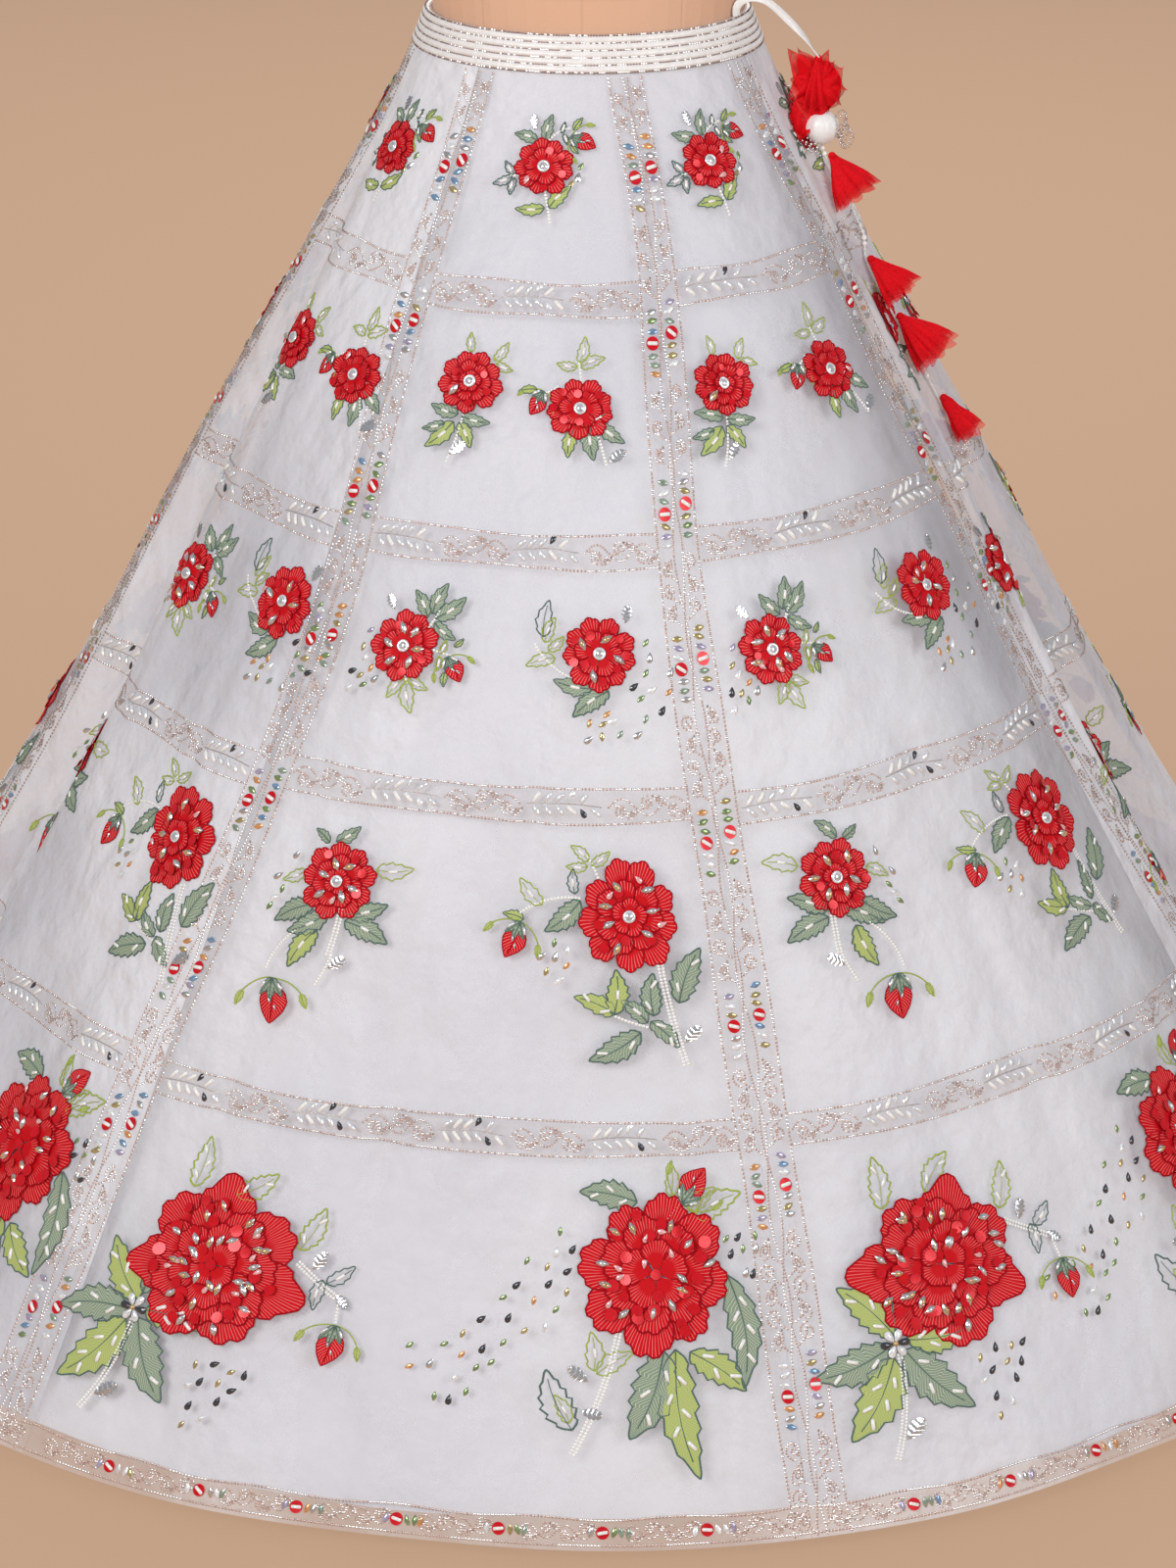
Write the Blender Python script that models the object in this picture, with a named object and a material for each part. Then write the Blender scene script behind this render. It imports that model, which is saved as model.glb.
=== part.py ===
"""A flared skirt of eight sheer kalis over a lining, with a tasselled drawstring, on a limbless dress form.

Metres, +Z up. The origin is the centre of the stand's underside, on the floor. The skirt's front faces -Y, and an
azimuth is counted in degrees from the front towards +X.
"""

import math

import bmesh
import bpy
from mathutils import Vector

# Driving sizes
SEAM_GAP = 0.0003  # between pieces that are sewn together or touch
HEM_LIFT = 0.015  # the hem hangs this far above the floor
KALI_WALL = 0.0014
LINING_WALL = 0.0012
BAND_WALL = 0.0042
BAND_STRIPES = 5  # padded stripes round the waistband
STRIPE_RISE = 0.0012
BAND_BOTTOM = 0.951  # heights above the hem
BAND_TOP = 0.976
KALI_COLUMNS = 10
LINING_COLUMNS = 7
RING_COLUMNS = 48
ROSE_RISE = 0.0015

# The cloth's outer form: height above the hem, half width, half depth
CLOTH_RINGS = (
    (0.000, 0.692, 0.606),
    (0.265, 0.522, 0.477),
    (0.480, 0.392, 0.383),
    (0.646, 0.303, 0.296),
    (0.809, 0.209, 0.197),
    (0.951, 0.132, 0.109),
    (0.976, 0.122, 0.099),
)

# Where one kali is sewn to the next, as azimuths
SEAMS = (-84.0, -37.5, 13.5, 62.0, 108.0, 152.0, 194.0, 235.0)

# Rows of points down a kali, as heights above the hem
KALI_ROWS = (0.000, 0.035, 0.090, 0.150, 0.210, 0.270, 0.330, 0.390, 0.450, 0.510, 0.570, 0.630, 0.690, 0.750,
             0.810, 0.860, 0.905, 0.932)

# Troughs that hang in the cloth: azimuth, half width in degrees, depth at the hem, height where it fades out
TROUGHS = (
    (-12.0, 16.0, 0.006, 0.80),
    (36.0, 14.0, 0.007, 0.75),
    (-55.0, 11.0, 0.008, 0.70),
    (-74.0, 9.0, 0.030, 0.93),
    (75.0, 8.0, 0.022, 0.93),
    (101.0, 10.0, 0.018, 0.82),
    (122.0, 12.0, 0.024, 0.88),
    (146.0, 10.0, 0.016, 0.76),
    (170.0, 13.0, 0.026, 0.86),
    (196.0, 11.0, 0.020, 0.80),
    (219.0, 12.0, 0.026, 0.90),
    (243.0, 11.0, 0.018, 0.78),
    (264.0, 9.0, 0.014, 0.84),
)

# Applique roses on every kali: place across it from -1 to 1, height above the hem, radius
ROSES = (
    (-0.10, 0.888, 0.024),
    (-0.50, 0.748, 0.026),
    (0.42, 0.738, 0.026),
    (-0.56, 0.577, 0.030),
    (0.50, 0.586, 0.030),
    (-0.55, 0.421, 0.032),
    (0.62, 0.414, 0.040),
    (-0.55, 0.158, 0.070),
    (0.62, 0.178, 0.062),
)

# How far the lining hangs inside the kalis, as a share of the local radius: azimuth either side of the front, share
LINING_SHARE = ((0.0, 0.010), (45.0, 0.020), (75.0, 0.110), (100.0, 0.120), (140.0, 0.090), (180.0, 0.080))
# How much of that share applies: height above the hem, factor
LINING_EASE = ((0.000, 0.70), (0.250, 0.75), (0.450, 0.85), (0.650, 1.20), (0.800, 0.80), (0.951, 0.00))
LINING_CLEAR_TOP = KALI_WALL + SEAM_GAP + 0.0001
LINING_CLEAR_LOW = 0.009
LINING_ROWS = (0.014, 0.120, 0.200, 0.290, 0.390, 0.490, 0.580, 0.670, 0.750, 0.820, 0.880, 0.920)

# The dress form: height above the hem, half width, front depth, back depth
FORM_RINGS = (
    (0.702, 0.142, 0.106, 0.108),
    (0.712, 0.152, 0.113, 0.118),
    (0.770, 0.163, 0.122, 0.132),
    (0.830, 0.156, 0.116, 0.128),
    (0.890, 0.138, 0.104, 0.112),
    (0.940, 0.125, 0.096, 0.098),
    (1.000, 0.1190, 0.0950, 0.0950),
    (1.060, 0.128, 0.104, 0.098),
    (1.120, 0.141, 0.118, 0.104),
    (1.165, 0.149, 0.128, 0.107),
    (1.210, 0.152, 0.122, 0.108),
    (1.260, 0.157, 0.105, 0.106),
    (1.310, 0.166, 0.090, 0.098),
    (1.345, 0.158, 0.078, 0.088),
    (1.370, 0.128, 0.068, 0.078),
    (1.388, 0.090, 0.060, 0.070),
    (1.405, 0.064, 0.056, 0.064),
    (1.430, 0.055, 0.053, 0.058),
    (1.465, 0.052, 0.051, 0.055),
)
BAND_EASE = 0.0004  # the form's clearance inside the waistband
CAP_HEIGHT = 0.020
POLE_RADIUS = 0.016
POLE_COLUMNS = 24
COLLAR_RADIUS = 0.030
COLLAR_HEIGHT = 0.035
COLLAR_SLOPE = 0.006
BASE_RADIUS = 0.190
BASE_THICK = 0.006
BASE_EDGE = 0.0015

# The drawstring: route points as azimuth, height above the hem, distance out from the cloth's form
RIBBON_WIDTH = 0.005
RIBBON_ROUTE = (
    (66.0, 0.9764, -0.0008),
    (66.0, 0.9830, -0.0008),
    (67.5, 0.9885, 0.0030),
    (70.0, 0.9895, 0.0100),
    (73.0, 0.9850, 0.0190),
    (76.0, 0.9730, 0.0290),
    (78.5, 0.9570, 0.0365),
    (80.0, 0.9420, 0.0393),
)
# The thinner string starts straight down from the ball, then lies down the valley beside the front fold
STRING_WIDTH = 0.0016
STRING_DROP = 0.002
STRING_ROUTE = (
    (79.0, 0.8640, 0.0106),
    (82.0, 0.8450, 0.0070),
    (84.0, 0.8250, 0.0024),
    (81.5, 0.8060, 0.0030),
    (78.0, 0.7900, 0.0034),
    (77.5, 0.7680, 0.0036),
    (77.5, 0.7460, 0.0038),
    (78.0, 0.7150, 0.0036),
    (78.0, 0.6840, 0.0036),
    (78.0, 0.6780, 0.0036),
)

# Tassels: azimuth, height and distance out of the head, then of the mouth, mouth radius, flutes
TASSELS = (
    (80.0, 0.9407, 0.0393, 80.0, 0.9020, 0.0237, 0.0195, 7),
    (79.0, 0.8678, 0.0155, 79.0, 0.8353, 0.0200, 0.0205, 6),
    (77.5, 0.7907, 0.0086, 77.0, 0.7626, 0.0252, 0.0190, 6),
    (77.5, 0.7470, 0.0086, 77.0, 0.7175, 0.0262, 0.0205, 7),
    (78.0, 0.6834, 0.0081, 78.0, 0.6496, 0.0180, 0.0140, 5),
)
TASSEL_HEAD = 0.0030
TASSEL_WAVE = 0.12
TASSEL_FLATNESS = 0.45  # its depth for its width
TASSEL_TURN = -35.0  # how far its width is turned from lying along the cloth, in degrees
# The tassels' outline: share of the length, times the head's radius, plus times the mouth's radius
TASSEL_OUTLINE = ((0.0, 1.0, 0.0), (0.10, 1.7, 0.0), (0.35, 0.0, 0.70), (0.70, 0.0, 0.94), (1.0, 0.0, 1.0))
BALL_RADIUS = 0.0130
BALL_EASE = 0.0004

COLOURS = {
    "organza": (0.86, 0.85, 0.86),
    "satin": (0.93, 0.92, 0.92),
    "band": (0.90, 0.89, 0.88),
    "form": (0.80, 0.60, 0.47),
    "cap": (0.74, 0.71, 0.67),
    "steel": (0.55, 0.55, 0.57),
    "red": (0.72, 0.02, 0.04),
}


def clear_scene():
    for found in list(bpy.data.objects):
        bpy.data.objects.remove(found, do_unlink=True)


def material(name, colour, roughness, metallic=0.0):
    """A Principled material, made once for each name."""
    made = bpy.data.materials.get(name) or bpy.data.materials.new(name)
    made.use_nodes = True
    shader = made.node_tree.nodes["Principled BSDF"]
    shader.inputs["Base Color"].default_value = (*colour, 1.0)
    shader.inputs["Roughness"].default_value = roughness
    shader.inputs["Metallic"].default_value = metallic
    return made


def read_curve(rows, x, column=1):
    """A smooth curve through (x, value) rows with x ascending, held at its ends."""
    xs = [row[0] for row in rows]
    ys = [row[column] for row in rows]
    x = min(max(x, xs[0]), xs[-1])
    last = len(xs) - 1
    k = next((i for i in range(last) if x <= xs[i + 1]), last - 1)
    slopes = [(ys[i + 1] - ys[i]) / (xs[i + 1] - xs[i]) for i in range(last)]

    def tangent(i):
        if i == 0:
            return slopes[0]
        if i == last:
            return slopes[-1]
        before, after = xs[i] - xs[i - 1], xs[i + 1] - xs[i]
        return (slopes[i - 1] * after + slopes[i] * before) / (before + after)

    span = xs[k + 1] - xs[k]
    t = (x - xs[k]) / span
    return (ys[k] * (1 + 2 * t) * (1 - t) ** 2 + span * tangent(k) * t * (1 - t) ** 2
            + ys[k + 1] * t * t * (3 - 2 * t) + span * tangent(k + 1) * t * t * (t - 1))


def degrees_between(one, other):
    return (one - other + 180.0) % 360.0 - 180.0


def trough_depth(azimuth, height):
    """How far the cloth hangs inside its plain form."""
    depth = 0.0
    for centre, half_width, deepest, fade in TROUGHS:
        off = abs(degrees_between(azimuth, centre)) / half_width
        if off < 1.0 and height < fade:
            down = 1.0 - height / fade
            depth += deepest * math.cos(off * math.pi / 2) ** 2 * (1.0 - (1.0 - down) ** 3)
    return depth


def cloth_point(azimuth, height, out=0.0, folded=True):
    """A point on the outer cloth, moved out along the horizontal from the form's axis."""
    angle = math.radians(azimuth)
    flat = Vector((read_curve(CLOTH_RINGS, height, 1) * math.sin(angle),
                   -read_curve(CLOTH_RINGS, height, 2) * math.cos(angle)))
    reach = flat.length + out - (trough_depth(azimuth, height) if folded else 0.0)
    flat = flat.normalized() * reach
    return Vector((flat.x, flat.y, height + HEM_LIFT))


def cloth_normal(azimuth, height):
    """The outward normal of the folded cloth."""
    turn, rise = 0.6, 0.004
    low, high = max(height - rise, 0.0), min(height + rise, BAND_TOP)
    along = cloth_point(azimuth + turn, height) - cloth_point(azimuth - turn, height)
    up = cloth_point(azimuth, high) - cloth_point(azimuth, low)
    return along.cross(up).normalized()


def rose_rise(place, height, half_span):
    """How far an applique rose raises a kali's outer face at a place from -1 to 1 across it."""
    rise = 0.0
    for across, rose_height, radius in ROSES:
        reach = math.hypot((place - across) * half_span, height - rose_height) / radius
        if reach < 1.3:
            rise = max(rise, ROSE_RISE * min(1.0, (1.3 - reach) / 0.3))
    return rise


def place_object(name, mesh, *materials):
    made = bpy.data.objects.new(name, mesh)
    for one in materials:
        mesh.materials.append(one)
    bpy.context.scene.collection.objects.link(made)
    return made


def solid_from(name, points, faces, paint, sharp=40.0):
    """A closed body from points and faces, shaded smooth."""
    build = bmesh.new()
    verts = [build.verts.new(point) for point in points]
    for face in faces:
        build.faces.new([verts[i] for i in face])
    bmesh.ops.recalc_face_normals(build, faces=build.faces)
    mesh = bpy.data.meshes.new(name)
    build.to_mesh(mesh)
    build.free()
    mesh.shade_smooth()
    mesh.set_sharp_from_angle(angle=math.radians(sharp))
    return place_object(name, mesh, paint)


def ring_shell(name, section, columns, paint):
    """A wall closed all round: section(azimuth) gives its closed profile, a list of points."""
    loops = [section(360.0 * i / columns) for i in range(columns)]
    count = len(loops[0])
    faces = []
    for i in range(columns):
        j = (i + 1) % columns
        for k in range(count):
            n = (k + 1) % count
            faces.append((i * count + k, j * count + k, j * count + n, i * count + n))
    return solid_from(name, [point for loop in loops for point in loop], faces, paint)


def stack(name, rings, paint, sharp=40.0):
    """A solid through rings of equal count, closed by a flat face at each end."""
    count = len(rings[0])
    faces = []
    for r in range(len(rings) - 1):
        for k in range(count):
            n = (k + 1) % count
            faces.append((r * count + k, r * count + n, (r + 1) * count + n, (r + 1) * count + k))
    faces.append(tuple(range(count)))
    faces.append(tuple((len(rings) - 1) * count + k for k in range(count)))
    return solid_from(name, [point for ring in rings for point in ring], faces, paint, sharp)


def gore(name, start, end, rows, columns, points_at, paint):
    """A wall between two seams: points_at(azimuth, height, place) gives its outer and inner point."""
    middle, half = (start + end) / 2, (end - start) / 2
    outer, inner = [], []
    for height in rows:
        edge = half - math.degrees(SEAM_GAP / 2 / math.hypot(*cloth_point(middle, height).xy))
        for k in range(columns + 1):
            place = 2.0 * k / columns - 1.0
            outside, inside = points_at(middle + edge * place, height, place)
            outer.append(outside)
            inner.append(inside)
    wide = columns + 1
    shift = len(outer)
    faces = []
    for r in range(len(rows) - 1):
        for k in range(columns):
            a, b = r * wide + k, r * wide + k + 1
            c, d = (r + 1) * wide + k + 1, (r + 1) * wide + k
            faces.append((a, b, c, d))
            faces.append((a + shift, d + shift, c + shift, b + shift))
    rim = list(range(wide))
    rim += [r * wide + columns for r in range(1, len(rows))]
    rim += [(len(rows) - 1) * wide + k for k in range(columns - 1, -1, -1)]
    rim += [r * wide for r in range(len(rows) - 2, 0, -1)]
    for one, other in zip(rim, rim[1:] + rim[:1]):
        faces.append((one, one + shift, other + shift, other))
    return solid_from(name, outer + inner, faces, paint)


def make_kali(number, start, end, paint):
    """One gore of the skirt, from the waistband's seam to the hem, with its roses raised in the outer face."""
    rows = KALI_ROWS + (BAND_BOTTOM - SEAM_GAP,)
    middle, half = (start + end) / 2, (end - start) / 2

    def points_at(azimuth, height, place):
        point = cloth_point(azimuth, height)
        normal = cloth_normal(azimuth, height)
        if height > KALI_ROWS[-1]:
            normal = Vector((normal.x, normal.y, 0.0)).normalized()
        half_span = math.hypot(*cloth_point(middle, height).xy) * math.radians(half)
        at_edge = abs(place) == 1.0 or height in (rows[0], rows[-1])
        rise = 0.0 if at_edge else rose_rise(place, height, half_span)
        return point + normal * rise, point - normal * KALI_WALL

    return gore(f"kali_{number}", start, end, rows, KALI_COLUMNS, points_at, paint)


def lining_inset(azimuth, height):
    """How far the lining's outer face lies inside the cloth's plain form."""
    side = abs(degrees_between(azimuth, 0.0))
    plain = cloth_point(azimuth, height, folded=False)
    share = read_curve(LINING_SHARE, side) * read_curve(LINING_EASE, height)
    ease = min(1.0, (BAND_BOTTOM - height) / 0.12)
    clear = LINING_CLEAR_TOP + (LINING_CLEAR_LOW - LINING_CLEAR_TOP) * ease
    return clear + max(share, 0.0) * math.hypot(plain.x, plain.y)


def make_lining(number, start, end, paint):
    """One gore of the opaque under-skirt, which ends above the embroidered hem."""
    def points_at(azimuth, height, _place):
        inset = lining_inset(azimuth, height)
        return (cloth_point(azimuth, height, -inset, folded=False),
                cloth_point(azimuth, height, -inset - LINING_WALL, folded=False))

    rows = LINING_ROWS + (BAND_BOTTOM - SEAM_GAP,)
    return gore(f"lining_{number}", start, end, rows, LINING_COLUMNS, points_at, paint)


def band_inner(azimuth, height):
    """A point on the waistband's inner face."""
    return cloth_point(azimuth, height, -BAND_WALL, folded=False)


def make_waistband(paint):
    """A wall with padded stripes raised in its outer face over a plain inside."""
    steps = 2 * BAND_STRIPES

    def section(azimuth):
        outer = []
        for k in range(steps + 1):
            height = BAND_BOTTOM + (BAND_TOP - BAND_BOTTOM) * k / steps
            rise = STRIPE_RISE if k % 2 else 0.0
            outer.append(cloth_point(azimuth, height, rise, folded=False))
        return outer + [band_inner(azimuth, BAND_TOP), band_inner(azimuth, BAND_BOTTOM)]

    return ring_shell("waistband", section, RING_COLUMNS, paint)


def form_point(azimuth, height):
    """A point on the dress form, just inside the waistband where it passes through it."""
    angle = math.radians(azimuth)
    forward = math.cos(angle) > 0.0
    point = Vector((read_curve(FORM_RINGS, height, 1) * math.sin(angle),
                    -read_curve(FORM_RINGS, height, 2 if forward else 3) * math.cos(angle)))
    return Vector((point.x, point.y, height + HEM_LIFT))


def form_ring(height):
    return [form_point(360.0 * k / RING_COLUMNS, height) for k in range(RING_COLUMNS)]


def band_seat_ring(height):
    """The form's ring where the waistband sits on it."""
    ring = []
    for k in range(RING_COLUMNS):
        seat = band_inner(360.0 * k / RING_COLUMNS, min(max(height, BAND_BOTTOM), BAND_TOP))
        inward = Vector((seat.x, seat.y, 0.0)).normalized() * BAND_EASE
        ring.append(Vector((seat.x - inward.x, seat.y - inward.y, height + HEM_LIFT)))
    return ring


def make_form(paint):
    """The torso: hips, waist, bust and shoulders, up to a plain neck, with a flat underside."""
    heights = [row[0] for row in FORM_RINGS]
    lower = [form_ring(h) for h in heights if h < BAND_BOTTOM - 0.02]
    seat = [band_seat_ring(h) for h in (BAND_BOTTOM - 0.004, BAND_BOTTOM, BAND_TOP, BAND_TOP + 0.003)]
    upper = [form_ring(h) for h in heights if h > BAND_TOP + 0.02]
    return stack("dress_form_torso", lower + seat + upper, paint)


def circle(radius, height, columns, centre=(0.0, 0.0)):
    return [Vector((centre[0] + radius * math.sin(2 * math.pi * k / columns),
                    centre[1] - radius * math.cos(2 * math.pi * k / columns), height)) for k in range(columns)]


def make_cap(paint):
    """A low dome on the neck, with the neck's own outline."""
    top = FORM_RINGS[-1][0]
    foot = form_ring(top)
    base = HEM_LIFT + top + SEAM_GAP
    rings = []
    for share, lift in ((1.0, 0.0), (1.0, 0.3), (0.86, 0.68), (0.55, 0.93), (0.22, 1.0)):
        rings.append([Vector((p.x * share, p.y * share, base + CAP_HEIGHT * lift)) for p in foot[::2]])
    return stack("form_neck_cap", rings, paint)


def make_stand(paint):
    """A round base on the floor and a straight pole up to the form's underside."""
    inset = BASE_RADIUS - BASE_EDGE
    stack("stand_base", [circle(inset, 0.0, RING_COLUMNS),
                         circle(BASE_RADIUS, BASE_EDGE, RING_COLUMNS),
                         circle(BASE_RADIUS, BASE_THICK - BASE_EDGE, RING_COLUMNS),
                         circle(inset, BASE_THICK, RING_COLUMNS)], paint)
    foot = BASE_THICK + SEAM_GAP
    top = FORM_RINGS[0][0] + HEM_LIFT - SEAM_GAP
    stack("stand_pole", [circle(COLLAR_RADIUS, foot, POLE_COLUMNS),
                         circle(COLLAR_RADIUS, foot + COLLAR_HEIGHT, POLE_COLUMNS),
                         circle(POLE_RADIUS, foot + COLLAR_HEIGHT + COLLAR_SLOPE, POLE_COLUMNS),
                         circle(POLE_RADIUS, top, POLE_COLUMNS)], paint)


def smooth_route(points, step):
    """Points a step apart, read from a smooth curve through the route's own points."""
    ends = [2 * points[0] - points[1], *points, 2 * points[-1] - points[-2]]
    fine = []
    for i in range(1, len(ends) - 2):
        p0, p1, p2, p3 = ends[i - 1:i + 3]
        for k in range(24):
            t = k / 24
            fine.append(0.5 * (2 * p1 + (p2 - p0) * t + (2 * p0 - 5 * p1 + 4 * p2 - p3) * t * t
                               + (3 * p1 - p0 - 3 * p2 + p3) * t ** 3))
    fine.append(points[-1])
    total = sum((b - a).length for a, b in zip(fine, fine[1:]))
    count = max(2, round(total / step))
    want, gone, route = total / count, 0.0, [fine[0]]
    for a, b in zip(fine, fine[1:]):
        piece = (b - a).length
        while piece > 0 and gone + piece >= want and len(route) < count:
            share = (want - gone) / piece
            a = a.lerp(b, share)
            route.append(a.copy())
            piece, gone = (b - a).length, 0.0
        gone += piece
    route.append(fine[-1])
    return route


def make_tube(name, route, width, paint):
    """A round cord on a smooth curve through the route's points."""
    points = smooth_route(route, 2.0 * width)
    curve = bpy.data.curves.new(name, "CURVE")
    curve.dimensions = "3D"
    curve.bevel_depth = width / 2
    curve.bevel_resolution = 2
    curve.use_fill_caps = True
    spline = curve.splines.new("POLY")
    spline.points.add(len(points) - 1)
    for spot, point in zip(spline.points, points):
        spot.co = (*point, 1.0)
    curve.materials.append(paint)
    made = bpy.data.objects.new(name, curve)
    bpy.context.scene.collection.objects.link(made)
    return made


def make_tassel(number, row, paint):
    """A fluted fan of gathered cloth that hangs down the slope from its head."""
    mouth, flutes = row[6:]
    head, foot = cloth_point(*row[:3]), cloth_point(*row[3:6])
    down = (foot - head).normalized()
    length = (foot - head).length
    away = cloth_normal(row[0], row[1])
    away = (away - down * away.dot(down)).normalized()
    side = down.cross(away)
    turn = math.radians(TASSEL_TURN)
    wide = side * math.cos(turn) + away * math.sin(turn)
    thin = away * math.cos(turn) - side * math.sin(turn)
    columns = 4 * flutes
    rings = []
    for share, of_head, of_mouth in TASSEL_OUTLINE:
        ring = []
        for k in range(columns):
            angle = 2 * math.pi * k / columns
            wave = 1.0 + TASSEL_WAVE * share * math.cos(flutes * angle)
            spread = (TASSEL_HEAD * of_head + mouth * of_mouth) * wave
            ring.append(head + down * (length * share) + wide * (spread * math.cos(angle))
                        + thin * (TASSEL_FLATNESS * spread * math.sin(angle)))
        rings.append(ring)
    return stack(f"tassel_{number}", rings, paint)


def ball_centre():
    """The ball hangs against the first tassel's mouth."""
    head, foot = cloth_point(*TASSELS[0][:3]), cloth_point(*TASSELS[0][3:6])
    return foot + (foot - head).normalized() * (BALL_RADIUS + BALL_EASE)


def make_ball(paint):
    """The satin-covered ball that the string hangs from."""
    centre = ball_centre()
    rings = []
    for lean in (-75, -45, -15, 15, 45, 75):
        across = BALL_RADIUS * math.cos(math.radians(lean))
        rings.append(circle(across, centre.z + BALL_RADIUS * math.sin(math.radians(lean)), 16, centre.xy))
    return stack("satin_ball", rings, paint)


def build():
    clear_scene()
    organza = material("organza", COLOURS["organza"], 0.55)
    satin = material("lining_satin", COLOURS["satin"], 0.45)
    band = material("band_satin", COLOURS["band"], 0.40)
    red = material("red_organza", COLOURS["red"], 0.60)
    form = material("form_jersey", COLOURS["form"], 0.80)
    steel = material("stand_steel", COLOURS["steel"], 0.30, 1.0)
    cap = material("cap_paint", COLOURS["cap"], 0.50)

    for number, start in enumerate(SEAMS):
        end = SEAMS[(number + 1) % len(SEAMS)] + (360.0 if number == len(SEAMS) - 1 else 0.0)
        make_kali(number + 1, start, end, organza)
        make_lining(number + 1, start, end, satin)
    make_waistband(band)
    make_form(form)
    make_cap(cap)
    make_stand(steel)
    make_tube("drawstring", [cloth_point(*row) for row in RIBBON_ROUTE], RIBBON_WIDTH, satin)
    make_ball(satin)
    top = ball_centre() - Vector((0.0, 0.0, BALL_RADIUS + SEAM_GAP / 2))
    drop = top - Vector((0.0, 0.0, STRING_DROP))
    make_tube("tassel_string", [top, drop] + [cloth_point(*row) for row in STRING_ROUTE], STRING_WIDTH, satin)
    for number, row in enumerate(TASSELS):
        make_tassel(number + 1, row, red)


build()
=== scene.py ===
"""The skirt's finish: sheer embroidered kalis over a satin lining, bead lines, roses and red tassels.

Metres, +Z up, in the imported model's frame. The skirt's front faces -Y. An azimuth is counted in degrees from
the front towards +X, and a height from the hem. Embroidery is drawn flat, as u to the right, v up and w out
of the cloth, and is then laid on the cloth's own curved surface.
"""

import math

import bpy
import numpy as np
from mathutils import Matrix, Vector


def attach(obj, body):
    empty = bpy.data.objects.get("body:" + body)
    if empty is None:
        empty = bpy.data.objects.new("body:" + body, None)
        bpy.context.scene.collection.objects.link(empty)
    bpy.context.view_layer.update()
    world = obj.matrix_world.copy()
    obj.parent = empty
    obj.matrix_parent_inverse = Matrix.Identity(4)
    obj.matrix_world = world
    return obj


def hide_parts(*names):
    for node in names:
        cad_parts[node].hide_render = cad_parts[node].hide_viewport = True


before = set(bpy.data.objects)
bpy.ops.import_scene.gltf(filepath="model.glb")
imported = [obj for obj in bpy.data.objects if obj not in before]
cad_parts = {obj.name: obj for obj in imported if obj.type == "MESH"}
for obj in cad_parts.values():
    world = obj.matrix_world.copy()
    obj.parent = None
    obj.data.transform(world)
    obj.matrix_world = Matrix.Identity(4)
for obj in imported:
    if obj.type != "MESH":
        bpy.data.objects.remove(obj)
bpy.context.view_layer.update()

MM = 0.001
HEM_LIFT = 0.015
BAND_BOTTOM, BAND_TOP = 0.951, 0.976
BAND_WALL = 0.0042
LINING_END = 0.014
BODY = "root"

# The cloth's outer form: height above the hem, half width, half depth
CLOTH_RINGS = (
    (0.000, 0.692, 0.606),
    (0.265, 0.522, 0.477),
    (0.480, 0.392, 0.383),
    (0.646, 0.303, 0.296),
    (0.809, 0.209, 0.197),
    (0.951, 0.132, 0.109),
    (0.976, 0.122, 0.099),
)

# Where one kali is sewn to the next, as azimuths
SEAMS = (-84.0, -37.5, 13.5, 62.0, 108.0, 152.0, 194.0, 235.0)

# Troughs that hang in the cloth: azimuth, half width in degrees, depth at the hem, height where it fades out
TROUGHS = (
    (-12.0, 16.0, 0.006, 0.80),
    (36.0, 14.0, 0.007, 0.75),
    (-55.0, 11.0, 0.008, 0.70),
    (-74.0, 9.0, 0.030, 0.93),
    (75.0, 8.0, 0.022, 0.93),
    (101.0, 10.0, 0.018, 0.82),
    (122.0, 12.0, 0.024, 0.88),
    (146.0, 10.0, 0.016, 0.76),
    (170.0, 13.0, 0.026, 0.86),
    (196.0, 11.0, 0.020, 0.80),
    (219.0, 12.0, 0.026, 0.90),
    (243.0, 11.0, 0.018, 0.78),
    (264.0, 9.0, 0.014, 0.84),
)

# Soft creases: azimuth and height at the top, azimuth and height at the foot, half width and depth in metres
CREASES = (
    (-4.0, 0.78, -7.0, 0.30, 0.014, 0.0022),
    (-15.0, 0.62, -17.5, 0.02, 0.020, 0.0030),
    (-30.0, 0.70, -31.0, 0.10, 0.016, 0.0024),
    (6.0, 0.58, 9.0, 0.05, 0.018, -0.0020),
    (21.0, 0.93, 27.0, 0.50, 0.010, 0.0022),
    (38.0, 0.70, 41.0, 0.04, 0.022, 0.0032),
    (52.0, 0.66, 55.5, 0.12, 0.018, -0.0026),
    (-46.0, 0.80, -50.0, 0.22, 0.016, 0.0028),
    (-63.0, 0.90, -62.0, 0.35, 0.014, -0.0030),
    (-70.0, 0.60, -69.0, 0.02, 0.020, 0.0040),
    (67.0, 0.90, 69.0, 0.30, 0.016, -0.0034),
    (88.0, 0.75, 92.0, 0.03, 0.022, 0.0042),
    (115.0, 0.92, 113.0, 0.24, 0.018, -0.0030),
    (133.0, 0.70, 135.0, 0.02, 0.024, 0.0038),
    (158.0, 0.88, 161.0, 0.12, 0.018, -0.0030),
    (183.0, 0.72, 180.0, 0.02, 0.024, 0.0040),
    (207.0, 0.90, 209.0, 0.20, 0.018, -0.0028),
    (230.0, 0.68, 232.0, 0.03, 0.022, 0.0036),
    (254.0, 0.86, 252.0, 0.10, 0.018, 0.0034),
    (272.0, 0.74, 271.0, 0.04, 0.016, -0.0030),
)

LINING_SHARE = ((0.0, 0.010), (45.0, 0.020), (75.0, 0.110), (100.0, 0.120), (140.0, 0.090), (180.0, 0.080))
LINING_EASE = ((0.000, 0.70), (0.250, 0.75), (0.450, 0.85), (0.650, 1.20), (0.800, 0.80), (0.951, 0.00))
LINING_CLEAR = (0.0018, 0.0090)  # at the waistband and further down

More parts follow.
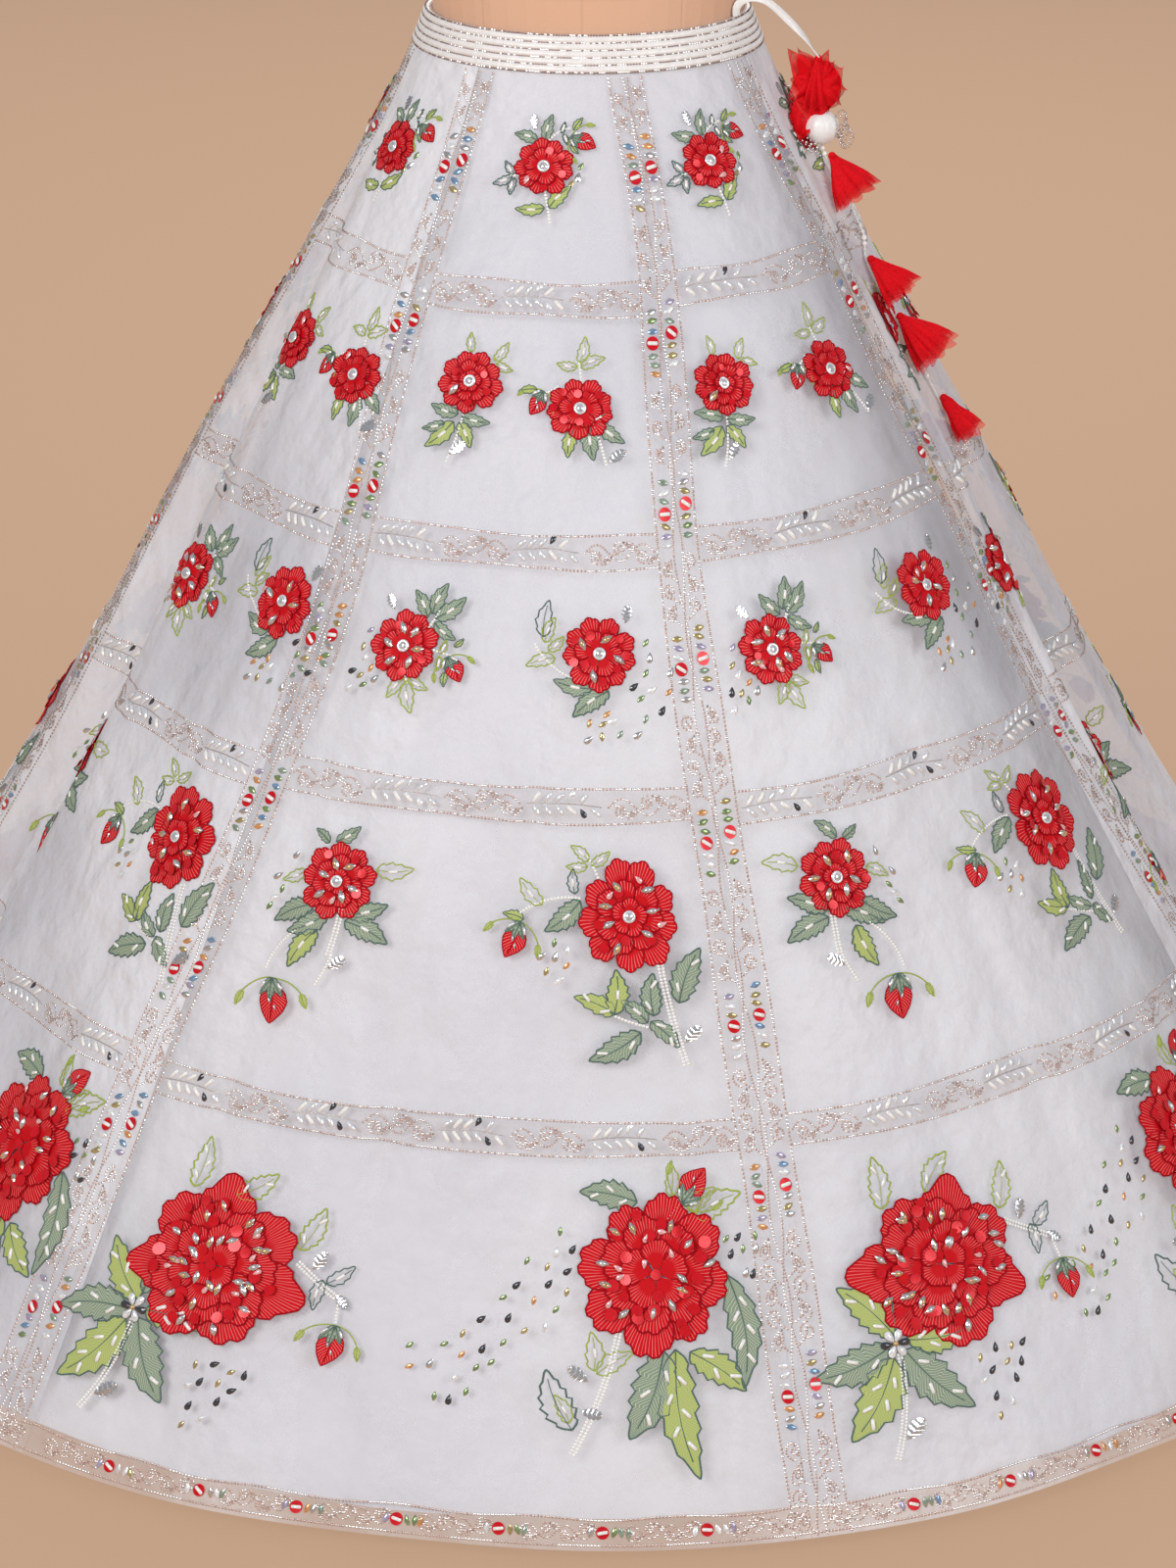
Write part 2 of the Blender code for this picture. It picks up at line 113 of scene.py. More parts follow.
# The drawstring's and the string's routes: azimuth, height, distance out from the cloth's form
RIBBON_ROUTE = (
    (66.0, 0.9764, -0.0008),
    (66.0, 0.9830, -0.0008),
    (67.5, 0.9885, 0.0030),
    (70.0, 0.9895, 0.0100),
    (73.0, 0.9850, 0.0190),
    (76.0, 0.9730, 0.0290),
    (78.5, 0.9570, 0.0365),
    (80.0, 0.9420, 0.0393),
)
RIBBON_WIDTH = 0.0062
STRING_ROUTE = (
    (79.0, 0.8640, 0.0106),
    (82.0, 0.8450, 0.0070),
    (84.0, 0.8250, 0.0024),
    (81.5, 0.8060, 0.0030),
    (78.0, 0.7900, 0.0034),
    (77.5, 0.7680, 0.0036),
    (77.5, 0.7460, 0.0038),
    (78.0, 0.7150, 0.0036),
    (78.0, 0.6840, 0.0036),
    (78.0, 0.6780, 0.0036),
)
STRING_WIDTH = 0.0016
STRING_DROP = 0.002

# Tassels: azimuth, height and distance out of the head, then of the mouth, mouth radius, flutes
TASSELS = (
    (80.0, 0.9407, 0.0393, 80.0, 0.9020, 0.0237, 0.0195, 7),
    (79.0, 0.8678, 0.0155, 79.0, 0.8353, 0.0200, 0.0205, 6),
    (77.5, 0.7907, 0.0086, 77.0, 0.7626, 0.0252, 0.0190, 6),
    (77.5, 0.7470, 0.0086, 77.0, 0.7175, 0.0262, 0.0205, 7),
    (78.0, 0.6834, 0.0081, 78.0, 0.6496, 0.0180, 0.0140, 5),
)
TASSEL_HEAD = 0.0030
TASSEL_FLATNESS = 0.48
TASSEL_TURN = -35.0
BALL_RADIUS = 0.0130
BALL_EASE = 0.0004

# The camera: distance before the skirt, height, pitch below the horizon, focal length on a 36 mm sensor
CAMERA_BACK, CAMERA_HEIGHT, CAMERA_PITCH, CAMERA_LENS = 3.0, 1.693, 24.18, 92.0

rng = np.random.default_rng(7)


def read_curve(rows, x, column=1):
    """A smooth curve through (x, value) rows with x ascending, held at its ends, for an array of x."""
    xs = np.array([row[0] for row in rows])
    ys = np.array([row[column] for row in rows])
    gaps = np.diff(xs)
    slopes = np.diff(ys) / gaps
    tangents = np.concatenate([slopes[:1], (slopes[:-1] * gaps[1:] + slopes[1:] * gaps[:-1])
                               / (gaps[:-1] + gaps[1:]), slopes[-1:]])
    x = np.clip(x, xs[0], xs[-1])
    k = np.clip(np.searchsorted(xs, x) - 1, 0, len(xs) - 2)
    t = (x - xs[k]) / gaps[k]
    return (ys[k] * (1 + 2 * t) * (1 - t) ** 2 + gaps[k] * tangents[k] * t * (1 - t) ** 2
            + ys[k + 1] * t * t * (3 - 2 * t) + gaps[k] * tangents[k + 1] * t * t * (t - 1))


def degrees_between(one, other):
    return (one - other + 180.0) % 360.0 - 180.0


def sag(azimuth, height, reach):
    """How far the folded cloth hangs inside its plain form."""
    depth = np.zeros_like(reach)
    for centre, half_width, deepest, fade in TROUGHS:
        off = np.minimum(np.abs(degrees_between(azimuth, centre)) / half_width, 1.0)
        share = np.minimum(height / fade, 1.0)
        depth += deepest * np.cos(off * math.pi / 2) ** 2 * (1.0 - share ** 3)
    for top_azimuth, top, foot_azimuth, foot, half_width, deepest in CREASES:
        t = (top - height) / (top - foot)
        line = top_azimuth + (foot_azimuth - top_azimuth) * np.clip(t, 0.0, 1.0)
        off = np.radians(np.abs(degrees_between(azimuth, line))) * reach / half_width
        along = np.sin(math.pi * np.clip(t, 0.0, 1.0) ** 1.3)
        depth += deepest * np.cos(np.minimum(off, 1.0) * math.pi / 2) ** 2 * along
    return depth


def cloth(azimuth, height, out=0.0, folded=True):
    """Points on the outer cloth, moved out along the horizontal from the form's axis."""
    azimuth, height, out = np.broadcast_arrays(np.asarray(azimuth, float), np.asarray(height, float),
                                               np.asarray(out, float))
    angle = np.radians(azimuth)
    x = read_curve(CLOTH_RINGS, height, 1) * np.sin(angle)
    y = -read_curve(CLOTH_RINGS, height, 2) * np.cos(angle)
    reach = np.hypot(x, y)
    share = (reach + out - (sag(azimuth, height, reach) if folded else 0.0)) / reach
    return np.stack([x * share, y * share, height + HEM_LIFT], -1)


def cloth_normal(azimuth, height):
    """Outward normals of the folded cloth."""
    turn, rise = 0.3, 0.002
    azimuth, height = np.asarray(azimuth, float), np.asarray(height, float)
    low, high = np.maximum(height - rise, 0.0), np.minimum(height + rise, BAND_TOP)
    along = cloth(azimuth + turn, height) - cloth(azimuth - turn, height)
    up = cloth(azimuth, high) - cloth(azimuth, low)
    normal = np.cross(along, up)
    return normal / np.linalg.norm(normal, axis=-1, keepdims=True)


def lay(azimuth, height, w):
    """Points at a distance w off the cloth."""
    height = np.maximum(height, 0.0)
    return cloth(azimuth, height) + cloth_normal(azimuth, height) * np.asarray(w)[..., None]


def scales(azimuth, height):
    """Metres along the cloth for a degree of azimuth and for a metre of height."""
    turn, rise = 0.5, 0.005
    across = np.linalg.norm(cloth(azimuth + turn, height, folded=False)
                            - cloth(azimuth - turn, height, folded=False), axis=-1) / (2 * turn)
    low, high = np.maximum(height - rise, 0.0), np.minimum(height + rise, BAND_TOP)
    up = np.linalg.norm(cloth(azimuth, high, folded=False) - cloth(azimuth, low, folded=False), axis=-1)
    return across, up / (high - low)


def on_patch(azimuth, height, mirror=False, turn=0.0):
    """Lays flat points round one spot of the cloth."""
    across, up = scales(np.float64(azimuth), np.float64(height))
    lean = math.radians(turn)

    def place(points):
        u = -points[:, 0] if mirror else points[:, 0]
        v = points[:, 1]
        u, v = u * math.cos(lean) - v * math.sin(lean), u * math.sin(lean) + v * math.cos(lean)
        return lay(azimuth + u / across, height + v / up, points[:, 2])

    return place


class Heap:
    """Points, faces, texture places and paints that become one joined mesh."""

    def __init__(self):
        self.points, self.faces, self.places, self.paints, self.count = [], [], [], [], 0

    def add(self, points, faces, paint, places=None):
        self.points.append(points)
        self.faces.append(faces + self.count)
        self.places.append(np.zeros((len(points), 2)) if places is None else places)
        self.paints.append(paint)
        self.count += len(points)

    def take(self, flat, place, mirror=False):
        """Adds a flat heap, laid on the cloth."""
        if not flat.count:
            return
        laid = place(np.concatenate(flat.points))
        for faces, paint in zip(flat.faces, flat.paints):
            self.faces.append((faces[:, ::-1] if mirror else faces) + self.count)
            self.paints.append(paint)
        self.points.append(laid)
        self.places.append(np.concatenate(flat.places))
        self.count += flat.count

    def build(self, name, smooth=True):
        used = sorted(set(self.paints))
        loops = np.concatenate([faces.ravel() for faces in self.faces])
        sizes = np.concatenate([np.full(len(faces), faces.shape[1]) for faces in self.faces])
        index = np.concatenate([np.full(len(faces), used.index(paint))
                                for faces, paint in zip(self.faces, self.paints)])
        points = np.concatenate(self.points)
        mesh = bpy.data.meshes.new(name)
        mesh.vertices.add(len(points))
        mesh.vertices.foreach_set("co", points.astype(np.float32).ravel())
        mesh.loops.add(len(loops))
        mesh.loops.foreach_set("vertex_index", loops.astype(np.int32))
        mesh.polygons.add(len(sizes))
        mesh.polygons.foreach_set("loop_start", np.concatenate([[0], np.cumsum(sizes)[:-1]]).astype(np.int32))
        mesh.polygons.foreach_set("material_index", index.astype(np.int32))
        mesh.polygons.foreach_set("use_smooth", np.full(len(sizes), smooth))
        layer = mesh.uv_layers.new(name="UVMap")
        layer.data.foreach_set("uv", np.concatenate(self.places)[loops].astype(np.float32).ravel())
        for paint in used:
            mesh.materials.append(PAINTS[paint])
        mesh.update(calc_edges=True)
        mesh.validate()
        made = bpy.data.objects.new(name, mesh)
        bpy.context.scene.collection.objects.link(made)
        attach(made, BODY)
        return made


def grid_faces(rows, columns, closed=False):
    """Quads over rows of points that run left to right, bottom row first, with their faces towards +w."""
    last = columns if closed else columns - 1
    r, c = np.meshgrid(np.arange(rows - 1), np.arange(last), indexing="ij")
    n = (c + 1) % columns
    return np.stack([r * columns + c, r * columns + n, (r + 1) * columns + n, (r + 1) * columns + c],
                    -1).reshape(-1, 4)


def outline(kind, sides):
    """Round, capsule, lens and tear outlines of unit half height, as turns anticlockwise."""
    angle = np.arange(sides) * 2 * math.pi / sides
    c, s = np.cos(angle), np.sin(angle)
    if kind == "capsule":
        return np.stack([c + np.sign(np.round(c, 6)) * 1.9, s], -1)
    if kind == "lens":
        return np.stack([1.9 * c, s * np.abs(s)], -1)
    if kind == "tear":
        return np.stack([1.7 * c, s * np.sin(angle / 2) * 1.25], -1)
    return np.stack([c, s], -1)


def button(kind, sides, rise, shoulder=0.7, crown=1.0):
    """A small stud over an outline: its edge, a shoulder ring and a top point."""
    edge = outline(kind, sides)
    points = np.concatenate([np.c_[edge, np.zeros(sides)],
                             np.c_[edge * shoulder, np.full(sides, rise * 0.75)],
                             [[0.0, 0.0, rise * crown]]])
    top = np.stack([sides + np.arange(sides), sides + (np.arange(sides) + 1) % sides,
                    np.full(sides, 2 * sides)], -1)
    return points, (grid_faces(2, sides, closed=True), top)


def hoop(sides, inner, rise):
    """A raised ring."""
    edge = outline("round", sides)
    middle = (1 + inner) / 2
    points = np.concatenate([np.c_[edge, np.zeros(sides)], np.c_[edge * middle, np.full(sides, rise)],
                             np.c_[edge * inner, np.zeros(sides)]])
    return points, (grid_faces(3, sides, closed=True),)


def stamped_leaf():
    """A stamped metal leaf, one unit long, with slanting ribs and a toothed edge."""
    rows = 11
    t = np.linspace(0.0, 1.0, rows)
    half = 0.30 * np.sin(math.pi * t ** 0.75) ** 0.8 * np.where(np.arange(rows) % 2, 1.0, 0.66)
    rib = np.where(np.arange(rows) % 2, 0.09, 0.02)
    points = np.stack([np.stack([t + 0.14 * (half > 0.1), half, 0.4 * rib], -1), np.stack([t, 0 * t, rib], -1),
                       np.stack([t + 0.14 * (half > 0.1), -half, 0.4 * rib], -1)], 1)
    return points.reshape(-1, 3), (grid_faces(rows, 3),)


def disc(sides):
    """A flat sequin, very slightly dished."""
    points = np.concatenate([np.c_[outline("round", sides), np.full(sides, 0.04)], [[0.0, 0.0, 0.0]]])
    return points, (np.stack([np.arange(sides), (np.arange(sides) + 1) % sides, np.full(sides, sides)], -1),)


def dome(sides, rise):
    """The plainest small bead: a low cone that shades round."""
    points = np.concatenate([np.c_[outline("round", sides), np.zeros(sides)], [[0.0, 0.0, rise]]])
    return points, (np.stack([np.arange(sides), (np.arange(sides) + 1) % sides, np.full(sides, sides)], -1),)


SHAPES = {
    "bead": dome(5, 0.9),
    "pearl": button("round", 8, 1.1, 0.8),
    "bugle": button("capsule", 6, 0.95, 0.72),
    "stone": button("lens", 10, 0.75, 0.62),
    "lens": button("lens", 8, 0.22, 0.86, 0.8),
    "tear": button("tear", 9, 0.45, 0.55),
    "sequin": disc(14),
    "mirror": button("round", 16, 0.30, 0.80, 0.75),
    "hoop": hoop(14, 0.55, 0.28),
    "stamp": stamped_leaf(),
}


def scatter(heap, shape, spots, turns, sizes, paint, base=0.0, tilt=0.0):
    """Copies of a small shape at flat spots, turned by degrees, sized in metres and tipped by up to a slope."""
    points, face_sets = SHAPES[shape]
    spots = np.asarray(spots, float).reshape(-1, 2)
    turns = np.radians(np.broadcast_to(np.asarray(turns, float), len(spots)))
    sizes = np.broadcast_to(np.asarray(sizes, float), len(spots))[:, None]
    base = np.broadcast_to(np.asarray(base, float), len(spots))[:, None]
    c, s = np.cos(turns)[:, None], np.sin(turns)[:, None]
    x = spots[:, :1] + sizes * (points[:, 0] * c - points[:, 1] * s)
    y = spots[:, 1:] + sizes * (points[:, 0] * s + points[:, 1] * c)
    tip_u, tip_v = rng.uniform(-tilt, tilt, (2, len(spots), 1))
    z = base + sizes * (points[:, 2] + tip_u * points[:, 0] + tip_v * points[:, 1])
    laid = np.stack([x, y, z], -1).reshape(-1, 3)
    shift = (np.arange(len(spots)) * len(points))[:, None, None]
    start = True
    for faces in face_sets:
        copies = (faces[None] + shift).reshape(-1, faces.shape[1])
        if start:
            heap.add(laid, copies, paint)
            start = False
        else:
            heap.faces.append(copies + heap.count - len(laid))
            heap.paints.append(paint)


def resample(path, step):
    """Points about a step apart along a flat path, with the direction at each in degrees."""
    path = np.asarray(path, float)
    gone = np.concatenate([[0.0], np.cumsum(np.linalg.norm(np.diff(path, axis=0), axis=1))])
    count = max(2, int(round(gone[-1] / step)) + 1)
    want = np.linspace(0.0, gone[-1], count)
    made = np.stack([np.interp(want, gone, path[:, k]) for k in range(path.shape[1])], -1)
    way = np.gradient(made, axis=0)
    return made, np.degrees(np.arctan2(way[:, 1], way[:, 0]))


def cord(heap, path, width, paint, base=0.0, rise=0.6):
    """A raised thread along a flat path: two sloping faces that shade as one round cord."""
    path = np.asarray(path, float)
    way = np.gradient(path[:, :2], axis=0)
    way /= np.maximum(np.linalg.norm(way, axis=1, keepdims=True), 1e-9)
    side = np.stack([-way[:, 1], way[:, 0]], -1) * width / 2
    base = np.broadcast_to(np.asarray(base, float), len(path))
    gone = np.concatenate([[0.0], np.cumsum(np.linalg.norm(np.diff(path[:, :2], axis=0), axis=1))])
    points = np.stack([np.c_[path[:, :2] + side, base], np.c_[path[:, :2], base + width * rise],
                       np.c_[path[:, :2] - side, base]], 1)
    places = np.stack([np.stack([gone, np.full(len(path), v)], -1) for v in (0.0, 0.5, 1.0)], 1)
    heap.add(points.reshape(-1, 3), grid_faces(len(path), 3), paint, places.reshape(-1, 2))


def bead_line(heap, path, step, size, paints=("bead_rose",), stretch=9, base=0.0):
    """Beads along a path, in stretches of one paint and then another, or mixed where the stretch is 0."""
    spots, _ = resample(path, step)
    if len(paints) == 1:
        scatter(heap, "bead", spots, 0.0, size, paints[0], base)
        return
    if stretch:
        turn = (np.arange(len(spots)) // stretch + rng.integers(0, 5)) % 5 < 2
    else:
        turn = rng.random(len(spots)) < 0.42
    for chosen, paint in ((turn, paints[1]), (~turn, paints[0])):
        if chosen.any():
            scatter(heap, "bead", spots[chosen], 0.0, size, paint, base)


def arc_path(start, angle, length, bend, count=12):
    """A curve that leaves at an angle and bends evenly: bend is the turn in degrees over its length."""
    t = np.linspace(0.0, 1.0, count)
    heading = np.radians(angle - bend / 2 + bend * t)
    step = length / (count - 1)
    x = start[0] + np.concatenate([[0.0], np.cumsum(np.cos(heading[:-1]) * step)])
    y = start[1] + np.concatenate([[0.0], np.cumsum(np.sin(heading[:-1]) * step)])
    return np.stack([x, y], -1)


def spiral(centre, radius, start, turns, hand=1, count=22):
    t = np.linspace(0.0, 1.0, count)
    angle = math.radians(start) + hand * t * turns * 2 * math.pi
    reach = radius * (1.0 - 0.78 * t)
    return np.stack([centre[0] + reach * np.cos(angle), centre[1] + reach * np.sin(angle)], -1)


def leaf_form(base, angle, length, width, bend, t, s):
    """Places on a leaf: t from its base to its tip, s from -1 to 1 across it."""
    heading = math.radians(angle)
    half = width / 2 * np.sin(math.pi * np.clip(t, 0, 1) ** 0.78) ** 0.85
    along = t * length
    off = half * s + bend * length * np.sin(math.pi * t * 0.9)
    return np.stack([base[0] + along * math.cos(heading) - off * math.sin(heading),
                     base[1] + along * math.sin(heading) + off * math.cos(heading)], -1)


def toothed(teeth, depth):
    """Rows up a toothed leaf's side: place along it and share of its half width there."""
    rows = [(0.0, 1.0), (0.40 / teeth, 1.0)]
    for k in range(teeth):
        rows += [((k + 0.75) / teeth, 1.0), ((k + 1.0) / teeth, 1.0 - depth)]
    return np.array(rows)


def leaf(heap, base, angle, length, width, fill, edge, beads=1, bend=0.06, floor=0.0004, depth=0.25):
    """A stitched leaf: hatched fill, toothed cord round it, a midrib and bugle beads."""
    rows = toothed(6 if length > 0.030 else 4, depth)
    along, share = rows[:, 0], rows[:, 1]
    if fill:
        t, s = np.meshgrid(along, (-1.0, 0.0, 1.0), indexing="ij")
        flat = leaf_form(base, angle, length, width, bend, t, s * share[:, None])
        crown = floor + 0.0008 * (1.0 - s ** 2) * np.sin(math.pi * t)
        points = np.concatenate([flat, crown[..., None]], -1).reshape(-1, 3)
        places = np.stack([t * length * 100.0, s * width * 50.0], -1).reshape(-1, 2)
        heap.add(points, grid_faces(len(along), 3)[:, ::-1], fill, places)
    thick = (0.0013 if length > 0.030 else 0.0009) + (0.0 if fill else 0.0002)
    for side in (-1.0, 1.0):
        cord(heap, leaf_form(base, angle, length, width, bend, along, side * share), thick, edge, floor)
    rib = leaf_form(base, angle, length, width, bend, np.linspace(0.0, 0.86, 7), 0.0)
    cord(heap, rib, 0.0007 if fill else 0.0006, edge, floor + 0.0007)
    for k in range(beads):
        t = 0.45 if beads == 1 else 0.24 + 0.5 * k / (beads - 1)
        s = 0.0 if beads == 1 else 0.34 * (-1) ** k
        spot = leaf_form(base, angle, length, width, bend, np.float64(t), np.float64(s))
        size = 0.00150 if length > 0.045 else 0.00125 if length > 0.022 else 0.00105
        scatter(heap, "bugle", spot, angle + (0 if beads == 1 else 32 * (-1) ** k), size, "bead_white",
                floor + 0.0008)


def stem(heap, start, angle, length, bend, rows=1):
    """A row or two of small white beads."""
    path = arc_path(start, angle, length, bend)
    way = np.radians(resample(path, length / 11)[1])
    side = np.stack([-np.sin(way), np.cos(way)], -1)[:len(path)] * 0.0014
    for k in range(rows):
        shift = side * ((2 * k - 1) if rows > 1 else 0.0)
        bead_line(heap, path + shift[:len(path)], 0.0025, 0.00130, ("bead_white",), base=0.0002)


def petal(heap, centre, angle, half, inner, outer, base, stretch, tip, scallops, thick):
    """One applique petal: hatched organza with a scalloped edge and a cord round it."""
    s = np.linspace(-1.0, 1.0, 13)
    wave = 1.0 - 0.060 * (1.0 - np.abs(np.sin(scallops * math.pi / 2 * (s + 1.0))))
    reach = outer * (1.0 - 0.30 * np.abs(s) ** 2.6) * wave + tip * np.maximum(0.0, 1.0 - np.abs(s) * 3.0)
    turn = math.radians(angle) + s * math.radians(half)
    t = np.linspace(0.0, 1.0, 4)[:, None]
    pinch = 0.55 + 0.45 * t ** 0.6
    direction = math.radians(angle) + (turn - math.radians(angle)) * pinch
    r = inner + (reach - inner) * t
    lift = base + 0.0006 * (s + 1.0) / 2 + 0.0005 * t
    x = centre[0] + stretch[0] * r * np.cos(direction)
    y = centre[1] + stretch[1] * r * np.sin(direction)
    points = np.stack([x, y, lift + 0.0 * x], -1)
    places = np.stack(np.broadcast_arrays(s * math.radians(half) * outer * 100.0, t), -1)
    heap.add(points[:, ::-1].reshape(-1, 3), grid_faces(4, 13), "petal", places[:, ::-1].reshape(-1, 2))
    edge = np.concatenate([points[2:-1, 0], points[-1], points[-2:1:-1, -1]])
    cord(heap, edge[:, :2], thick, "red_cord", edge[:, 2] - 0.0001, rise=0.45)


def rose(heap, centre, radius, layers, stretch=(1.0, 1.0), tips=(), turn=0.0, stones=5, sequins=8, boss="mirror"):
    """An applique rose: layers of petals as (share of the radius, count), sequins, stones and a centre."""
    base = 0.0005
    for number, (share, count) in enumerate(layers):
        outer = radius * share
        inner = outer * (0.30 if number < len(layers) - 1 else 0.10)
        for k in range(count):
            angle = turn + 360.0 * (k + 0.37 * number) / count + rng.uniform(-4, 4)
            half = 180.0 / count * 1.16
            pointed = radius * 0.16 if number == 0 and k in tips else 0.0
            petal(heap, centre, angle, half, inner, outer * rng.uniform(0.95, 1.05), base, stretch, pointed,
                  scallops=4 if radius > 0.045 else 3, thick=0.0015 if radius > 0.045 else 0.0012)
        base += 0.0009
    layout = []
    for k in range(sequins):
        angle = turn + 360.0 * k / max(sequins, 1) + rng.uniform(-14, 14)
        layout.append((angle, rng.uniform(0.42, 0.80)))
    spots = [(centre[0] + stretch[0] * radius * r * math.cos(math.radians(a)),
              centre[1] + stretch[1] * radius * r * math.sin(math.radians(a))) for a, r in layout]
    if boss == "none":
        spots += [(centre[0] + 0.20 * radius * math.sqrt(k) * math.cos(2.4 * k),
                   centre[1] + 0.20 * radius * math.sqrt(k) * math.sin(2.4 * k)) for k in range(8)]
    spots = np.array(spots)
    # About a fifth of the sequins are pale pink teardrops; their pale colour is partly a painted glint of light on
    # red sequins.
    pale_glint = rng.random(len(spots)) < 0.20
    sizes = rng.uniform(0.0033, 0.0042, len(spots)) * (1.15 if boss == "none" else min(1.0, radius / 0.033))
    above = base + 0.0008
    if pale_glint.any():
        scatter(heap, "tear", spots[pale_glint], rng.uniform(0, 360, pale_glint.sum()), 0.0020, "pale_sequin", above)
    if (~pale_glint).any():
        scatter(heap, "sequin", spots[~pale_glint], 0.0, sizes[~pale_glint], "red_sequin", above, tilt=0.22)
    for k in range(stones):
        angle = turn + 360.0 * (k + 0.5) / stones + rng.uniform(-12, 12)
        reach = radius * rng.uniform(0.40, 0.62) if stones < 8 else radius * rng.uniform(0.22, 0.80)
        spot = (centre[0] + stretch[0] * reach * math.cos(math.radians(angle)),
                centre[1] + stretch[1] * reach * math.sin(math.radians(angle)))
        lean = angle + rng.uniform(-40, 40)
        scatter(heap, "stone", spot, lean, 0.0027, "silver", base + 0.0002)
        scatter(heap, "stone", spot, lean, 0.0021, "stone_gold" if rng.random() < 0.5 else "stone_clear",
                base + 0.0010)
    if boss == "mirror":
        scatter(heap, "hoop", [centre], 0.0, 0.0046, "glass", base + 0.0006)
        scatter(heap, "mirror", [centre], 0.0, 0.0030, "stone_clear", base + 0.0010)


def bud(heap, base, angle, length):
    """A rose bud: red pointed body, sage calyx, two lime sepals and beads."""
    body = leaf_form(base, angle, length, length * 0.62, 0.05, np.linspace(0.12, 0.16, 2), 0.0)[0]
    leaf(heap, body, angle, length * 0.86, length * 0.62, "petal_fine", "red_cord", 0, 0.05, 0.0007, 0.0)
    middle = leaf_form(body, angle, length * 0.86, length * 0.5, 0.05, np.float64(0.5), np.float64(0.0))
    apart = math.radians(angle + 40)
    for shift in (-0.10, 0.10):
        spot = middle + length * shift * np.array([math.cos(apart), math.sin(apart)])
        scatter(heap, "bugle", spot, angle + 20, 0.0007, "stone_clear", 0.0018)
    for lean, share in ((-34, 0.46), (0, 0.52), (34, 0.46)):
        leaf(heap, base, angle + lean, length * share, length * 0.20, "sage_fill", "sage_cord", 0, 0.0, 0.0014)
    for side in (-1, 1):
        path = arc_path(base, angle + side * 62, length * 0.75, -side * 55)
        cord(heap, path, 0.0011, "lime_cord", 0.0004)
        end = path[-1]
        leaf(heap, end, angle + side * 20, length * 0.34, length * 0.16, "lime_fill", "lime_cord", 0, 0.0)
        spot = base + 0.26 * length * np.array([math.cos(math.radians(angle + side * 50)),
                                                math.sin(math.radians(angle + side * 50))])
        scatter(heap, "bugle", spot, angle + side * 35, 0.0010, "glass", 0.0022)


# Rose layers: share of the radius, petals
SMALL = ((1.0, 9), (0.64, 6))
MIDDLE = ((1.0, 9), (0.68, 7), (0.36, 5))
WIDE = ((1.0, 8), (0.74, 7), (0.46, 5))
BROAD = ((1.0, 7), (0.78, 7), (0.54, 6), (0.30, 4))

# Rose kinds: radius in mm, layers, stretch across and up, pointed petals, stones, sequins
ROSE_KINDS = {
    "A": (22.5, SMALL, (1.0, 0.97), (), 0, 7),
    "B": (24.0, MIDDLE, (1.0, 0.97), (), 1, 6),
    "C": (25.0, SMALL, (1.0, 0.90), (), 0, 9),
    "D": (25.5, SMALL, (1.0, 1.05), (), 6, 8),
    "E": (27.5, SMALL, (1.0, 1.0), (), 4, 9),
    "F": (29.5, MIDDLE, (1.0, 0.97), (), 6, 7),
    "G": (36.0, MIDDLE, (1.0, 1.14), (), 7, 9),
    "H": (66.0, BROAD, (1.03, 0.92), (1, 3, 6), 28, 24),
    "I": (55.0, WIDE, (0.98, 1.06), (), 12, 26),
}

